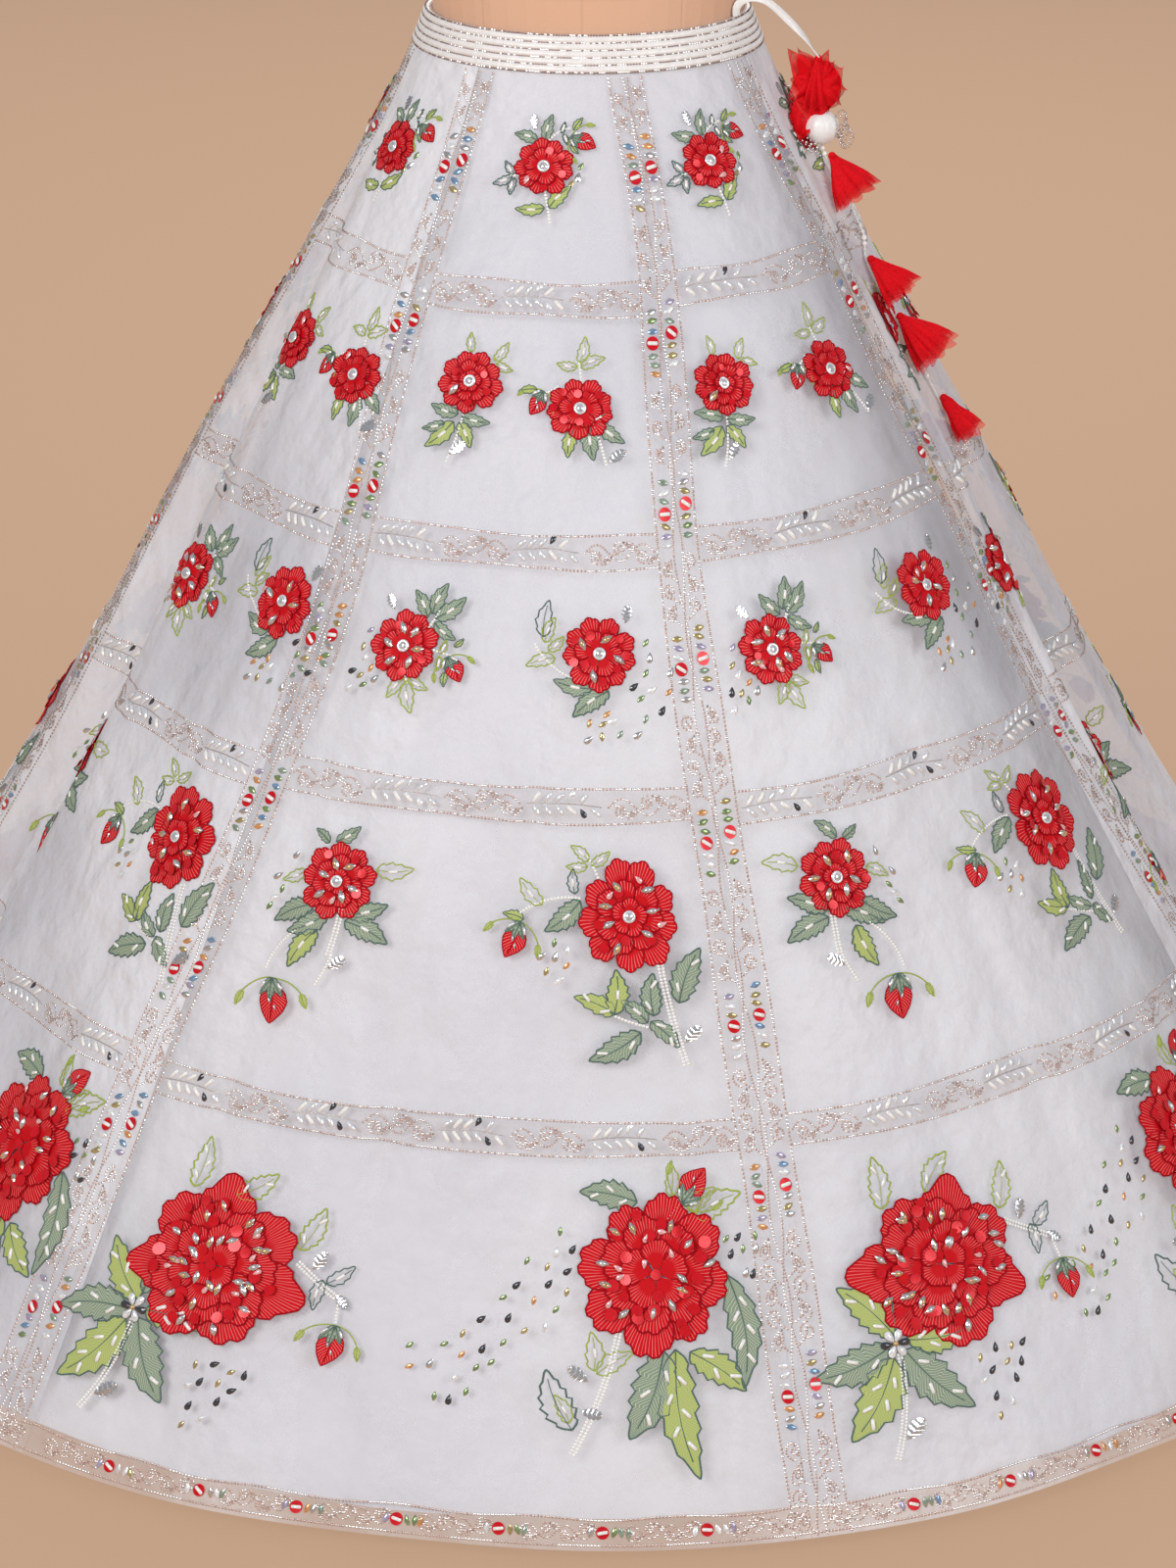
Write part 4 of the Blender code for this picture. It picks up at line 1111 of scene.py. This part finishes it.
def make_waist_beads():
    azimuths = np.linspace(0.0, 360.0, 181)
    spots = cloth(azimuths, (BAND_BOTTOM + BAND_TOP) / 2, folded=False)
    gone = np.concatenate([[0.0], np.cumsum(np.linalg.norm(np.diff(spots, axis=0), axis=1))])
    flat = Heap()
    for k in range(BAND_STRIPES + 1):
        height = BAND_BOTTOM + (BAND_TOP - BAND_BOTTOM) * k / BAND_STRIPES
        path = np.array([[0.0, height], [gone[-1] - 0.002, height]])
        bead_line(flat, path, 0.0022, 0.00115, ("bead_brown", "bead_silver"), 0, 0.0004)
    heap = Heap()
    heap.take(flat, lambda points: cloth(np.interp(points[:, 0], gone, azimuths), points[:, 1], points[:, 2],
                                         folded=False))
    return heap.build("waistband_beads")


def unit(vector):
    return vector / np.linalg.norm(vector)


def smooth_route(points, step):
    """A Catmull-Rom curve through points, sampled about a step apart."""
    points = np.asarray(points, float)
    padded = np.concatenate([[2 * points[0] - points[1]], points, [2 * points[-1] - points[-2]]])
    curve = []
    for a, b, c, d in zip(padded, padded[1:], padded[2:], padded[3:]):
        for t in np.arange(12) / 12:
            curve.append(0.5 * (2 * b + (c - a) * t + (2 * a - 5 * b + 4 * c - d) * t * t
                                + (3 * b - a - 3 * c + d) * t ** 3))
    return resample(np.array(curve + [points[-1]]), step)[0]


def tassel_frame(row):
    """Head, foot, and the directions down the tassel, across its width and through its depth."""
    head, foot = cloth(*row[:3]), cloth(*row[3:6])
    down = unit(foot - head)
    out = cloth_normal(row[0], row[1])
    away = unit(out - down * float(out @ down))
    side = np.cross(down, away)
    turn = math.radians(TASSEL_TURN)
    wide = side * math.cos(turn) + away * math.sin(turn)
    thin = away * math.cos(turn) - side * math.sin(turn)
    return head, foot, down, wide, thin


def ball_centre():
    _, foot, down, _, _ = tassel_frame(TASSELS[0])
    return foot + down * (BALL_RADIUS + BALL_EASE)


def ball(heap, centre, radius, paint, rings=6, sides=10, flute=0.0, flutes=9):
    """A ball, gathered into flutes where asked."""
    polar = np.linspace(0.06, math.pi - 0.06, rings)[:, None]
    turn = (np.arange(sides) * 2 * math.pi / sides)[None]
    swell = radius * (1.0 + flute * np.cos(flutes * turn) * np.sin(polar))
    reach = swell * np.sin(polar)
    points = np.stack(np.broadcast_arrays(reach * np.cos(turn), reach * np.sin(turn), -radius * np.cos(polar)), -1)
    heap.add(points.reshape(-1, 3) + centre, grid_faces(rings, sides, closed=True), paint)


def make_ribbon():
    """The flat satin drawstring, from the waistband's top to the head of the first tassel."""
    path = smooth_route([cloth(*row, folded=False) for row in RIBBON_ROUTE], 0.003)
    facing = unit(np.array([0.45, -0.85, 0.28]))
    half, thick = RIBBON_WIDTH / 2, 0.0005
    profile = ((-1.0, 0.0), (-0.9, 1.0), (0.0, 0.5), (0.9, 1.0),
               (1.0, 0.0), (0.9, -1.0), (0.0, -1.4), (-0.9, -1.0))
    rows = []
    for k, (point, way) in enumerate(zip(path, np.gradient(path, axis=0))):
        twist = 0.30 * math.sin(k * 0.25) + 1.25 * (k / len(path)) ** 3
        across = unit(np.cross(unit(way), facing))
        lift = unit(np.cross(across, way))
        across = across * math.cos(twist) + lift * math.sin(twist)
        lift = unit(np.cross(across, way))
        rows.append([point + across * half * a + lift * thick * b for a, b in profile])
    heap = Heap()
    heap.add(np.array(rows).reshape(-1, 3), grid_faces(len(path), 8, closed=True)[:, ::-1], "ribbon_satin")
    made = heap.build("drawstring_ribbon")
    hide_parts("drawstring")
    return made, path


def make_string():
    """The thin string that the lower tassels hang from."""
    centre = ball_centre()
    bottom = centre - np.array([0.0, 0.0, BALL_RADIUS + 0.00015])
    route = [bottom, bottom - np.array([0.0, 0.0, STRING_DROP])]
    route += [cloth(*row) for row in STRING_ROUTE]
    path = smooth_route(route, 0.003)
    data = bpy.data.curves.new("tassel_string_thread", "CURVE")
    data.dimensions = "3D"
    data.bevel_depth = STRING_WIDTH / 2
    data.bevel_resolution = 2
    data.use_fill_caps = True
    spline = data.splines.new("POLY")
    spline.points.add(len(path) - 1)
    spline.points.foreach_set("co", np.c_[path, np.ones(len(path))].ravel())
    data.materials.append(PAINTS["string"])
    made = bpy.data.objects.new("tassel_string_thread", data)
    bpy.context.scene.collection.objects.link(made)
    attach(made, BODY)
    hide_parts("tassel_string")
    return made, path


# Pearls on the string: how far down it, radius
PEARLS = ((0.003, 0.0024), (0.008, 0.0022), (0.056, 0.0014), (0.061, 0.0013), (0.066, 0.0014), (0.071, 0.0013),
          (0.076, 0.0014), (0.081, 0.0015), (0.086, 0.0024), (0.091, 0.0022), (0.134, 0.0015), (0.139, 0.0016),
          (0.143, 0.0023), (0.196, 0.0016), (0.201, 0.0023), (0.207, 0.0022))


def make_pearls(path):
    heap = Heap()
    gone = np.concatenate([[0.0], np.cumsum(np.linalg.norm(np.diff(path, axis=0), axis=1))])
    for far, radius in PEARLS:
        spot = np.array([np.interp(far, gone, path[:, k]) for k in range(3)])
        ball(heap, spot, radius, "pearl")
    return heap.build("string_pearls")


def make_satin_ball():
    """The satin ball, with its tangles of silver beads as a second piece."""
    centre = ball_centre()
    heap = Heap()
    ball(heap, centre, BALL_RADIUS, "ribbon_satin", 16, 36, 0.035, 9)
    made = heap.build("satin_ball_cloth")
    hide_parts("satin_ball")
    beads = Heap()
    for k in range(20):
        a = k * 2.4
        spread = 0.0075 * math.sqrt((k + 0.5) / 20)
        spot = centre + np.array([-0.011 + 1.2 * spread * math.cos(a), -0.008 + rng.uniform(-0.002, 0.002),
                                  -0.0125 + 0.8 * spread * math.sin(a)])
        ball(beads, spot, rng.uniform(0.0009, 0.0014), "silver", 5, 8)
    for k in range(7):
        middle = centre + np.array([0.0125 + 0.0010 * k % 3, -0.004 - 0.0012 * k, 0.006 - 0.0022 * k])
        a = np.linspace(0.0, 2 * math.pi, 15)[:-1]
        lean = 0.5 * k
        high, wide = 0.0085 - 0.0004 * k, 0.0042 + 0.0003 * (k % 3)
        for angle in a:
            spot = middle + np.array([wide * math.cos(angle) * math.cos(lean) + 0.3 * high * math.sin(angle),
                                      wide * math.cos(angle) * math.sin(lean), high * math.sin(angle)])
            ball(beads, spot, 0.0009, "silver" if k % 2 else "bead_rose", 4, 6)
    return made, beads.build("satin_ball_beads")


# The tassels' outline: share of the length, times the head's radius, plus times the mouth's radius
TASSEL_OUTLINE = ((0.0, 1.0, 0.0), (0.10, 1.5, 0.0), (0.35, 0.0, 0.50), (0.70, 0.0, 0.80), (1.0, 0.0, 1.0))


def fan_layer(heap, frame_of, length, mouth, wide_share, flutes, phase, deep, paint="tassel_organza"):
    """One layer of gathered organza from a head to a soft, slightly ragged edge."""
    head, down, wide, thin = frame_of
    columns, rings = 144, 18
    turn = np.arange(columns) * 2 * math.pi / columns
    t = np.linspace(0.0, 1.0, rings)[:, None]
    outline_rows = [(share, TASSEL_HEAD * a + mouth * b) for share, a, b in TASSEL_OUTLINE]
    radius = read_curve(outline_rows, t) * wide_share
    crisp = (1.7 * np.abs(np.cos(0.5 * flutes * turn + phase)) - 1.0
             + 0.35 * np.cos((flutes + 2) * turn - 1.7 * phase + 1.0))
    radius = radius * (1.0 + deep * np.minimum(1.0, t * 1.6) * crisp)
    ragged = 1.0 + 0.05 * np.sin(2 * turn + phase) + 0.04 * crisp + rng.uniform(-0.008, 0.008, columns)
    ragged = ragged * (1.0 - 0.12 * np.cos(turn) ** 2)
    along = t * ragged * length
    points = (head + along[..., None] * down + (radius * np.cos(turn))[..., None] * wide
              + (TASSEL_FLATNESS * radius * np.sin(turn))[..., None] * thin)
    places = np.stack(np.broadcast_arrays(turn[None], t), -1)
    heap.add(points.reshape(-1, 3), grid_faces(rings, columns, closed=True), paint, places.reshape(-1, 2))


def torn_petal(heap, root, along, across, length, width, curl, lift, paint="tassel_organza"):
    """A loose pointed end of organza, curling away from its root."""
    rows, columns = 14, 15
    t, s = np.meshgrid(np.linspace(0.0, 1.0, rows), np.linspace(-1.0, 1.0, columns), indexing="ij")
    half = width / 2 * (0.30 + 0.70 * np.sin(math.pi / 2 * np.minimum(t / 0.45, 1.0))) * (1.0 - t ** 2.2) ** 0.75
    reach = t * length * (1.0 + 0.05 * np.sin(6.0 * s + length * 900.0) - 0.10 * s ** 2)
    normal = np.cross(along, across)
    ripple = 0.10 * width * np.cos(5.0 * s + lift * 9.0) * np.minimum(1.0, t * 2.0)
    points = (root + along * reach[..., None] + across * (half * s + curl * length * t ** 2)[..., None]
              + normal * (ripple + lift * length * t ** 2)[..., None])
    heap.add(points.reshape(-1, 3), grid_faces(rows, columns), paint, np.stack([s, t], -1).reshape(-1, 2))


# How much of its solid's length and mouth each tassel's cloth fills
TASSEL_SHARES = ((0.95, 0.85), (1.0, 0.94), (0.92, 0.84), (1.0, 1.0), (0.86, 0.80))

# The top tassel's loose ends: lean from straight up in degrees, length, width, curl, lift
TORN_ENDS = (
    (-44.0, 0.034, 0.026, 0.10, 0.10), (-20.0, 0.030, 0.022, -0.10, 0.25), (14.0, 0.027, 0.018, 0.10, 0.10),
    (34.0, 0.022, 0.022, 0.10, 0.25), (64.0, 0.024, 0.034, -0.05, 0.25), (96.0, 0.024, 0.036, 0.10, 0.30),
    (128.0, 0.024, 0.036, 0.05, 0.35), (-82.0, 0.020, 0.030, 0.10, 0.20), (-120.0, 0.024, 0.030, 0.05, 0.25),
    (-163.0, 0.052, 0.028, 0.08, 0.12), (160.0, 0.025, 0.034, 0.0, 0.30), (-178.0, 0.028, 0.034, 0.05, 0.30),
)


def make_tassel(number):
    """One gathered fan of red organza: soft layers, and loose torn ends on the top one."""
    row = TASSELS[number - 1]
    head, foot, down, wide, thin = tassel_frame(row)
    mouth, flutes = row[6], row[7]
    length = float(np.linalg.norm(foot - head))
    heap = Heap()
    place = (head, down, wide, thin)
    grow, spread = TASSEL_SHARES[number - 1]
    fan_layer(heap, place, length * grow, mouth * spread, 1.0, flutes + 2, 0.7 * number, 0.20)
    fan_layer(heap, place, length * grow * 0.93, mouth * spread, 0.80, flutes, 1.1 * number + 1.0, 0.24)
    if number == 1:
        knot = head + down * 0.020 - thin * 0.004
        toward = unit(np.array([0.10, -0.95, 0.25]))
        up = unit(np.array([0.0, 0.0, 1.0]) - toward * toward[2])
        right = np.cross(up, toward)
        for lean, long, broad, curl, lift in TORN_ENDS:
            angle = math.radians(lean)
            along = up * math.cos(angle) + right * math.sin(angle)
            across = right * math.cos(angle) - up * math.sin(angle)
            torn_petal(heap, knot + toward * rng.uniform(0.004, 0.008), along, across, long, broad, curl, lift)
    ball(heap, head, TASSEL_HEAD * 1.05, "tassel_organza", 6, 12)
    made = heap.build(f"tassel_{number}_organza")
    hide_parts(f"tassel_{number}")
    return made


PAINTS = {}


class Paint:
    """A Principled material, with helpers for its patterns."""

    def __init__(self, name, colour, rough=0.5, metal=0.0, coat=0.0, sheen=0.0, alpha=1.0, glow=0.0, shine=0.5):
        self.material = bpy.data.materials.new("look_" + name)
        self.material.use_nodes = True
        self.tree = self.material.node_tree
        self.shader = next(node for node in self.tree.nodes if node.type == "BSDF_PRINCIPLED")
        values = {"Base Color": (*colour, 1.0), "Roughness": rough, "Metallic": metal, "Coat Weight": coat,
                  "Coat Roughness": 0.08, "Sheen Weight": sheen, "Sheen Roughness": 0.4, "Alpha": alpha,
                  "Specular IOR Level": shine}
        for socket, value in values.items():
            self.shader.inputs[socket].default_value = value
        if glow:
            self.shader.inputs["Subsurface Weight"].default_value = glow
            self.shader.inputs["Subsurface Radius"].default_value = (0.002, 0.002, 0.002)
        self.colour = colour
        PAINTS[name] = self.material

    def add(self, kind, **values):
        made = self.tree.nodes.new(kind)
        for name, value in values.items():
            setattr(made, name, value)
        return made

    def wire(self, source, target):
        self.tree.links.new(source, target)

    def math(self, operation, *values):
        made = self.add("ShaderNodeMath", operation=operation)
        for k, value in enumerate(values):
            if isinstance(value, (int, float)):
                made.inputs[k].default_value = value
            else:
                self.wire(value, made.inputs[k])
        return made.outputs[0]

    def axes(self, coordinates="UV"):
        source = self.add("ShaderNodeTexCoord")
        split = self.add("ShaderNodeSeparateXYZ")
        self.wire(source.outputs[coordinates], split.inputs[0])
        return split.outputs[0], split.outputs[1], split.outputs[2]

    def noise(self, scale, detail=2.0, stretch=(1.0, 1.0, 1.0), coordinates="Object"):
        source = self.add("ShaderNodeTexCoord")
        mapping = self.add("ShaderNodeMapping")
        mapping.inputs["Scale"].default_value = stretch
        texture = self.add("ShaderNodeTexNoise")
        texture.inputs["Scale"].default_value = scale
        texture.inputs["Detail"].default_value = detail
        self.wire(source.outputs[coordinates], mapping.inputs["Vector"])
        self.wire(mapping.outputs[0], texture.inputs["Vector"])
        return texture.outputs[0]

    def between(self, factor, low, high, target="Base Color"):
        """Blends from one colour or value to another, evenly."""
        if target == "Base Color":
            mix = self.add("ShaderNodeMix", data_type="RGBA")
            self.wire(factor, mix.inputs[0])
            mix.inputs[6].default_value = (*low, 1.0)
            mix.inputs[7].default_value = (*high, 1.0)
            self.wire(mix.outputs[2], self.shader.inputs[target])
        else:
            spread = self.math("MULTIPLY_ADD", factor, high - low, low)
            self.wire(spread, self.shader.inputs[target])
        return self

    def bump(self, height, depth, strength=1.0):
        made = self.add("ShaderNodeBump")
        made.inputs["Strength"].default_value = strength
        made.inputs["Distance"].default_value = depth
        self.wire(height, made.inputs["Height"])
        self.wire(made.outputs[0], self.shader.inputs["Normal"])
        return self

    def sharpen(self, value, low, high):
        """0 below low, 1 above high."""
        made = self.add("ShaderNodeMapRange", interpolation_type="SMOOTHSTEP")
        made.inputs["From Min"].default_value = low
        made.inputs["From Max"].default_value = high
        self.wire(value, made.inputs["Value"])
        return made.outputs[0]


def shade(colour, factor):
    return tuple(min(1.0, part * factor) for part in colour)


def hatched(name, ground, stitch, pitch, slant, reach, rough=0.55):
    """Cloth hatched with stitches: texture places are centimetres along, and then across it."""
    paint = Paint(name, ground, rough, shine=0.15)
    along, across, _ = paint.axes()
    across = paint.math("ABSOLUTE", across)
    phase = paint.math("MULTIPLY_ADD", across, -slant / pitch, paint.math("MULTIPLY", along, 1.0 / pitch))
    wave = paint.math("PINGPONG", phase, 0.5)
    line = paint.sharpen(wave, 0.36, 0.46)
    inside = paint.sharpen(across, reach, reach + 0.18)
    paint.between(paint.math("MULTIPLY", line, inside), ground, stitch)
    paint.bump(line, 0.0002, 0.4)
    return paint


def grained(name, colour, rough, scale, spread=0.12, depth=0.0003, **more):
    """A plain stuff with a fine uneven grain."""
    paint = Paint(name, colour, rough, **more)
    grain = paint.noise(scale, 3.0)
    paint.between(paint.sharpen(grain, 0.3, 0.7), shade(colour, 1.0 - spread), shade(colour, 1.0 + spread))
    paint.bump(grain, depth, 0.5)
    return paint


def sheer(name, low, high, gathered):
    """Crumpled organza, its cover running from low to high, and closer by a further share above the hem; its
    colour is painted crease shade with painted streak highlights.
    """
    paint = Paint(name, (0.80, 0.80, 0.86), 0.45, sheen=0.10, alpha=low)
    weave = paint.noise(900.0, 1.0, (1.0, 1.0, 0.35))
    cloud = paint.sharpen(paint.noise(4.5, 4.0, (1.0, 1.0, 0.50)), 0.38, 0.64)
    ridge = paint.math("ABSOLUTE", paint.math("SUBTRACT", paint.noise(6.0, 2.0, (1.0, 1.0, 0.40)), 0.5))
    # Thin streaks along the creases: a painted highlight in the colour, and a little more cover.
    highlight_streak = paint.sharpen(ridge, 0.040, 0.0)
    cover = paint.math("MULTIPLY_ADD", cloud, 0.60, paint.math("MULTIPLY", weave, 0.16))
    cover = paint.math("MULTIPLY_ADD", highlight_streak, 0.10, cover)
    _, height, _ = paint.axes()
    closer = paint.math("MULTIPLY", paint.sharpen(height, 0.025, 0.07), gathered)
    paint.wire(paint.math("MULTIPLY_ADD", cover, high - low, paint.math("ADD", closer, low)),
               paint.shader.inputs["Alpha"])
    # The base colour follows the cover: painted crease shade, greyer where the cover is thin, and painted
    # highlights on the streaks.
    paint.between(cover, (0.70, 0.705, 0.765), (0.90, 0.905, 0.95))
    crumple = paint.math("MULTIPLY_ADD", paint.noise(9.0, 4.0, (1.0, 1.0, 0.40)), 3.0, paint.noise(34.0, 3.0))
    paint.bump(crumple, 0.0080, 0.8)
    return paint


def make_paints():
    sheer("organza", 0.24, 0.62, 0.0)
    sheer("organza_dense", 0.28, 0.62, 0.34)
    lining = Paint("lining", (0.84, 0.84, 0.86), 0.55, sheen=0.10)
    # Painted fold shade: the lining's colour darkens in soft clouds, standing in for the shade of its folds.
    fold_shade = lining.sharpen(lining.noise(3.6, 4.0, (1.0, 1.0, 0.45)), 0.34, 0.68)
    lining.between(fold_shade, (0.755, 0.755, 0.80), (0.88, 0.885, 0.91))
    lining.bump(lining.noise(5.0, 3.0, (1.0, 1.0, 0.45)), 0.040, 0.7)
    tinted = Paint("band_tint", (0.66, 0.56, 0.52), 0.6, alpha=0.20)
    tinted.between(tinted.noise(320.0, 2.0), 0.02, 0.16, "Alpha")
    grained("band_satin", (0.84, 0.82, 0.81), 0.34, 240.0, 0.05, 0.0003, sheen=0.1)
    grained("ribbon_satin", (0.86, 0.85, 0.84), 0.30, 300.0, 0.04, 0.0002, sheen=0.1)
    grained("string", (0.80, 0.78, 0.76), 0.6, 900.0, 0.10, 0.0002)
    tassel = grained("tassel_organza", (0.70, 0.004, 0.010), 0.6, 500.0, 0.12, 0.0002, shine=0.08)
    _, down, _ = tassel.axes()
    tassel.between(tassel.sharpen(down, 0.62, 1.0), 0.94, 0.52, "Alpha")
    grained("bead_rose", (0.54, 0.40, 0.35), 0.26, 800.0, 0.30, 0.0001, metal=0.5)
    grained("bead_brown", (0.27, 0.185, 0.16), 0.28, 800.0, 0.30, 0.0001, metal=0.5)
    grained("bead_silver", (0.80, 0.77, 0.76), 0.16, 800.0, 0.15, 0.0001, metal=0.85)
    grained("bead_white", (0.86, 0.85, 0.82), 0.22, 800.0, 0.06, 0.0001, coat=0.6)
    grained("glass", (0.80, 0.82, 0.85), 0.12, 500.0, 0.12, 0.0001, metal=0.30, coat=0.9)
    grained("pearl", (0.88, 0.85, 0.82), 0.22, 400.0, 0.04, 0.0001, coat=0.7)
    grained("silver", (0.72, 0.72, 0.73), 0.22, 700.0, 0.12, 0.0001, metal=0.95)
    grained("stone_gold", (0.62, 0.42, 0.20), 0.14, 300.0, 0.20, 0.0002, metal=0.5, coat=0.8)
    grained("stone_clear", (0.62, 0.62, 0.64), 0.10, 300.0, 0.22, 0.0002, metal=0.5, coat=0.8)
    grained("red_sequin", (0.64, 0.003, 0.012), 0.24, 300.0, 0.10, 0.0001, metal=0.15, shine=0.4)
    # Pale pink teardrop sequins, coloured partly as a painted glint.
    grained("pale_sequin", (0.84, 0.46, 0.47), 0.14, 300.0, 0.10, 0.0001, metal=0.2, coat=0.5)
    grained("red_cord", (0.36, 0.002, 0.008), 0.7, 1400.0, 0.25, 0.0003, shine=0.1)
    grained("thread_rose", (0.42, 0.28, 0.24), 0.42, 1500.0, 0.35, 0.0003, metal=0.45)
    grained("thread_silver", (0.50, 0.46, 0.44), 0.35, 1500.0, 0.30, 0.0003, metal=0.6)
    grained("sage_cord", (0.105, 0.165, 0.145), 0.65, 1400.0, 0.30, 0.0003, shine=0.2)
    grained("lime_cord", (0.37, 0.45, 0.090), 0.65, 1400.0, 0.25, 0.0003, shine=0.2)
    hatched("petal", (0.60, 0.002, 0.008), (0.84, 0.20, 0.20), 0.27, 0.0, 0.52)
    hatched("petal_fine", (0.60, 0.002, 0.008), (0.82, 0.24, 0.24), 0.24, 0.8, 0.02)
    hatched("sage_fill", (0.25, 0.32, 0.24), (0.60, 0.66, 0.48), 0.28, 0.9, 0.02)
    hatched("lime_fill", (0.47, 0.54, 0.19), (0.33, 0.41, 0.12), 0.26, 0.9, 0.02)
    for name, colour, metal in (("dark", (0.05, 0.05, 0.06), 0.4), ("white", (0.80, 0.81, 0.84), 0.2),
                                ("gold", (0.52, 0.42, 0.20), 0.6), ("orange", (0.70, 0.34, 0.14), 0.3),
                                ("green", (0.26, 0.36, 0.16), 0.5), ("sage", (0.30, 0.38, 0.30), 0.3),
                                ("violet", (0.46, 0.42, 0.58), 0.4), ("blue", (0.22, 0.36, 0.55), 0.4)):
        grained(f"drop_{name}", colour, 0.16, 400.0, 0.22, 0.0002, metal=metal, coat=0.8)


def make_form_paints():
    """Finishes for the form and its stand."""
    jersey = Paint("form_jersey", (0.74, 0.455, 0.305), 0.72, sheen=0.35)
    x, y, _ = jersey.axes("Object")
    turn = jersey.math("ARCTAN2", x, jersey.math("MULTIPLY", y, -1.0))
    share = jersey.math("PINGPONG", jersey.math("MULTIPLY_ADD", turn, 8.0 / (2 * math.pi), 8.06), 0.5)
    seam = jersey.sharpen(share, 0.006, 0.014)
    jersey.between(seam, (0.715, 0.435, 0.290), (0.74, 0.455, 0.305))
    knit = jersey.noise(1100.0, 1.0, (1.0, 1.0, 0.5))
    jersey.bump(jersey.math("MULTIPLY_ADD", knit, 0.3, seam), 0.0006, 0.5)
    cap = grained("form_cap", (0.62, 0.58, 0.52), 0.38, 60.0, 0.05, 0.0002, coat=0.3)
    steel = Paint("stand_steel", (0.50, 0.50, 0.52), 0.30, metal=1.0)
    brushed = steel.noise(160.0, 2.0, (1.0, 1.0, 12.0))
    steel.between(brushed, 0.24, 0.40, "Roughness")
    steel.bump(brushed, 0.0001, 0.3)
    for name, paint in (("dress_form_torso", jersey), ("form_neck_cap", cap), ("stand_pole", steel),
                        ("stand_base", steel)):
        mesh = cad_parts[name].data
        mesh.materials.clear()
        mesh.materials.append(paint.material)


def make_floor():
    paint = Paint("floor", FLOOR_COLOUR, 0.9)
    cloud = paint.noise(1.6, 3.0)
    lit = shade(FLOOR_COLOUR, 1.0 - FLOOR_GLOW)
    paint.between(cloud, shade(lit, 0.98), shade(lit, 1.02))
    paint.shader.inputs["Emission Color"].default_value = (*FLOOR_COLOUR, 1.0)
    paint.shader.inputs["Emission Strength"].default_value = FLOOR_GLOW
    paint.shader.inputs["Specular IOR Level"].default_value = 0.1
    mesh = bpy.data.meshes.new("floor")
    size = 14.0
    corners = [(-size, -size, 0), (size, -size, 0), (size, size, 0), (-size, size, 0)]
    mesh.from_pydata(corners, [], [(0, 1, 2, 3)])
    mesh.materials.append(paint.material)
    floor = bpy.data.objects.new("floor", mesh)
    bpy.context.scene.collection.objects.link(floor)


FLOOR_COLOUR = (0.571, 0.376, 0.254)
FLOOR_GLOW = 0.7  # the share of the floor's brightness that is its own, so that it stays even
WORLD_LIGHT = 0.36

# Lights: place, size, watts, colour
LIGHTS = (
    ((-2.4, -3.6, 3.4), 2.0, 128.0, (1.0, 0.99, 0.98)),
    ((2.8, -3.2, 2.6), 2.2, 74.0, (0.975, 0.985, 1.0)),
    ((0.4, 3.4, 3.2), 2.4, 90.0, (1.0, 0.99, 0.98)),
)


def make_lights():
    for place, size, watts, colour in LIGHTS:
        data = bpy.data.lights.new("softbox", "AREA")
        data.size = size
        data.energy = watts
        data.color = colour
        light = bpy.data.objects.new("softbox", data)
        light.location = place
        light.rotation_euler = (Vector((0.0, 0.0, 0.7)) - Vector(place)).to_track_quat("-Z", "Y").to_euler()
        bpy.context.scene.collection.objects.link(light)
    world = bpy.data.worlds.new("studio")
    world.use_nodes = True
    background = next(node for node in world.node_tree.nodes if node.type == "BACKGROUND")
    background.inputs[0].default_value = (0.93, 0.95, 1.0, 1.0)
    background.inputs[1].default_value = WORLD_LIGHT
    bpy.context.scene.world = world


def make_camera():
    data = bpy.data.cameras.new("camera")
    data.lens = CAMERA_LENS
    data.sensor_width = 36.0
    camera = bpy.data.objects.new("camera", data)
    camera.location = (0.0, -CAMERA_BACK, CAMERA_HEIGHT)
    camera.rotation_euler = (math.radians(90.0 - CAMERA_PITCH), 0.0, 0.0)
    bpy.context.scene.collection.objects.link(camera)
    bpy.context.scene.camera = camera
    bpy.context.scene.view_settings.view_transform = "Standard"


def make_cords():
    ribbon, ribbon_path = make_ribbon()
    string, string_path = make_string()
    satin_ball, ball_beads = make_satin_ball()
    pearls = make_pearls(string_path)
    tassels = [make_tassel(number) for number in range(1, len(TASSELS) + 1)]


make_camera()
make_lights()
make_floor()
make_paints()
make_form_paints()
make_cords()
for kali in range(1, 9):
    make_kali(kali)
make_lining()
make_waistband()
make_waist_beads()
for kali in range(1, 9):
    make_rings(kali)
    make_seam_band(kali - 1)
    make_motifs(kali)
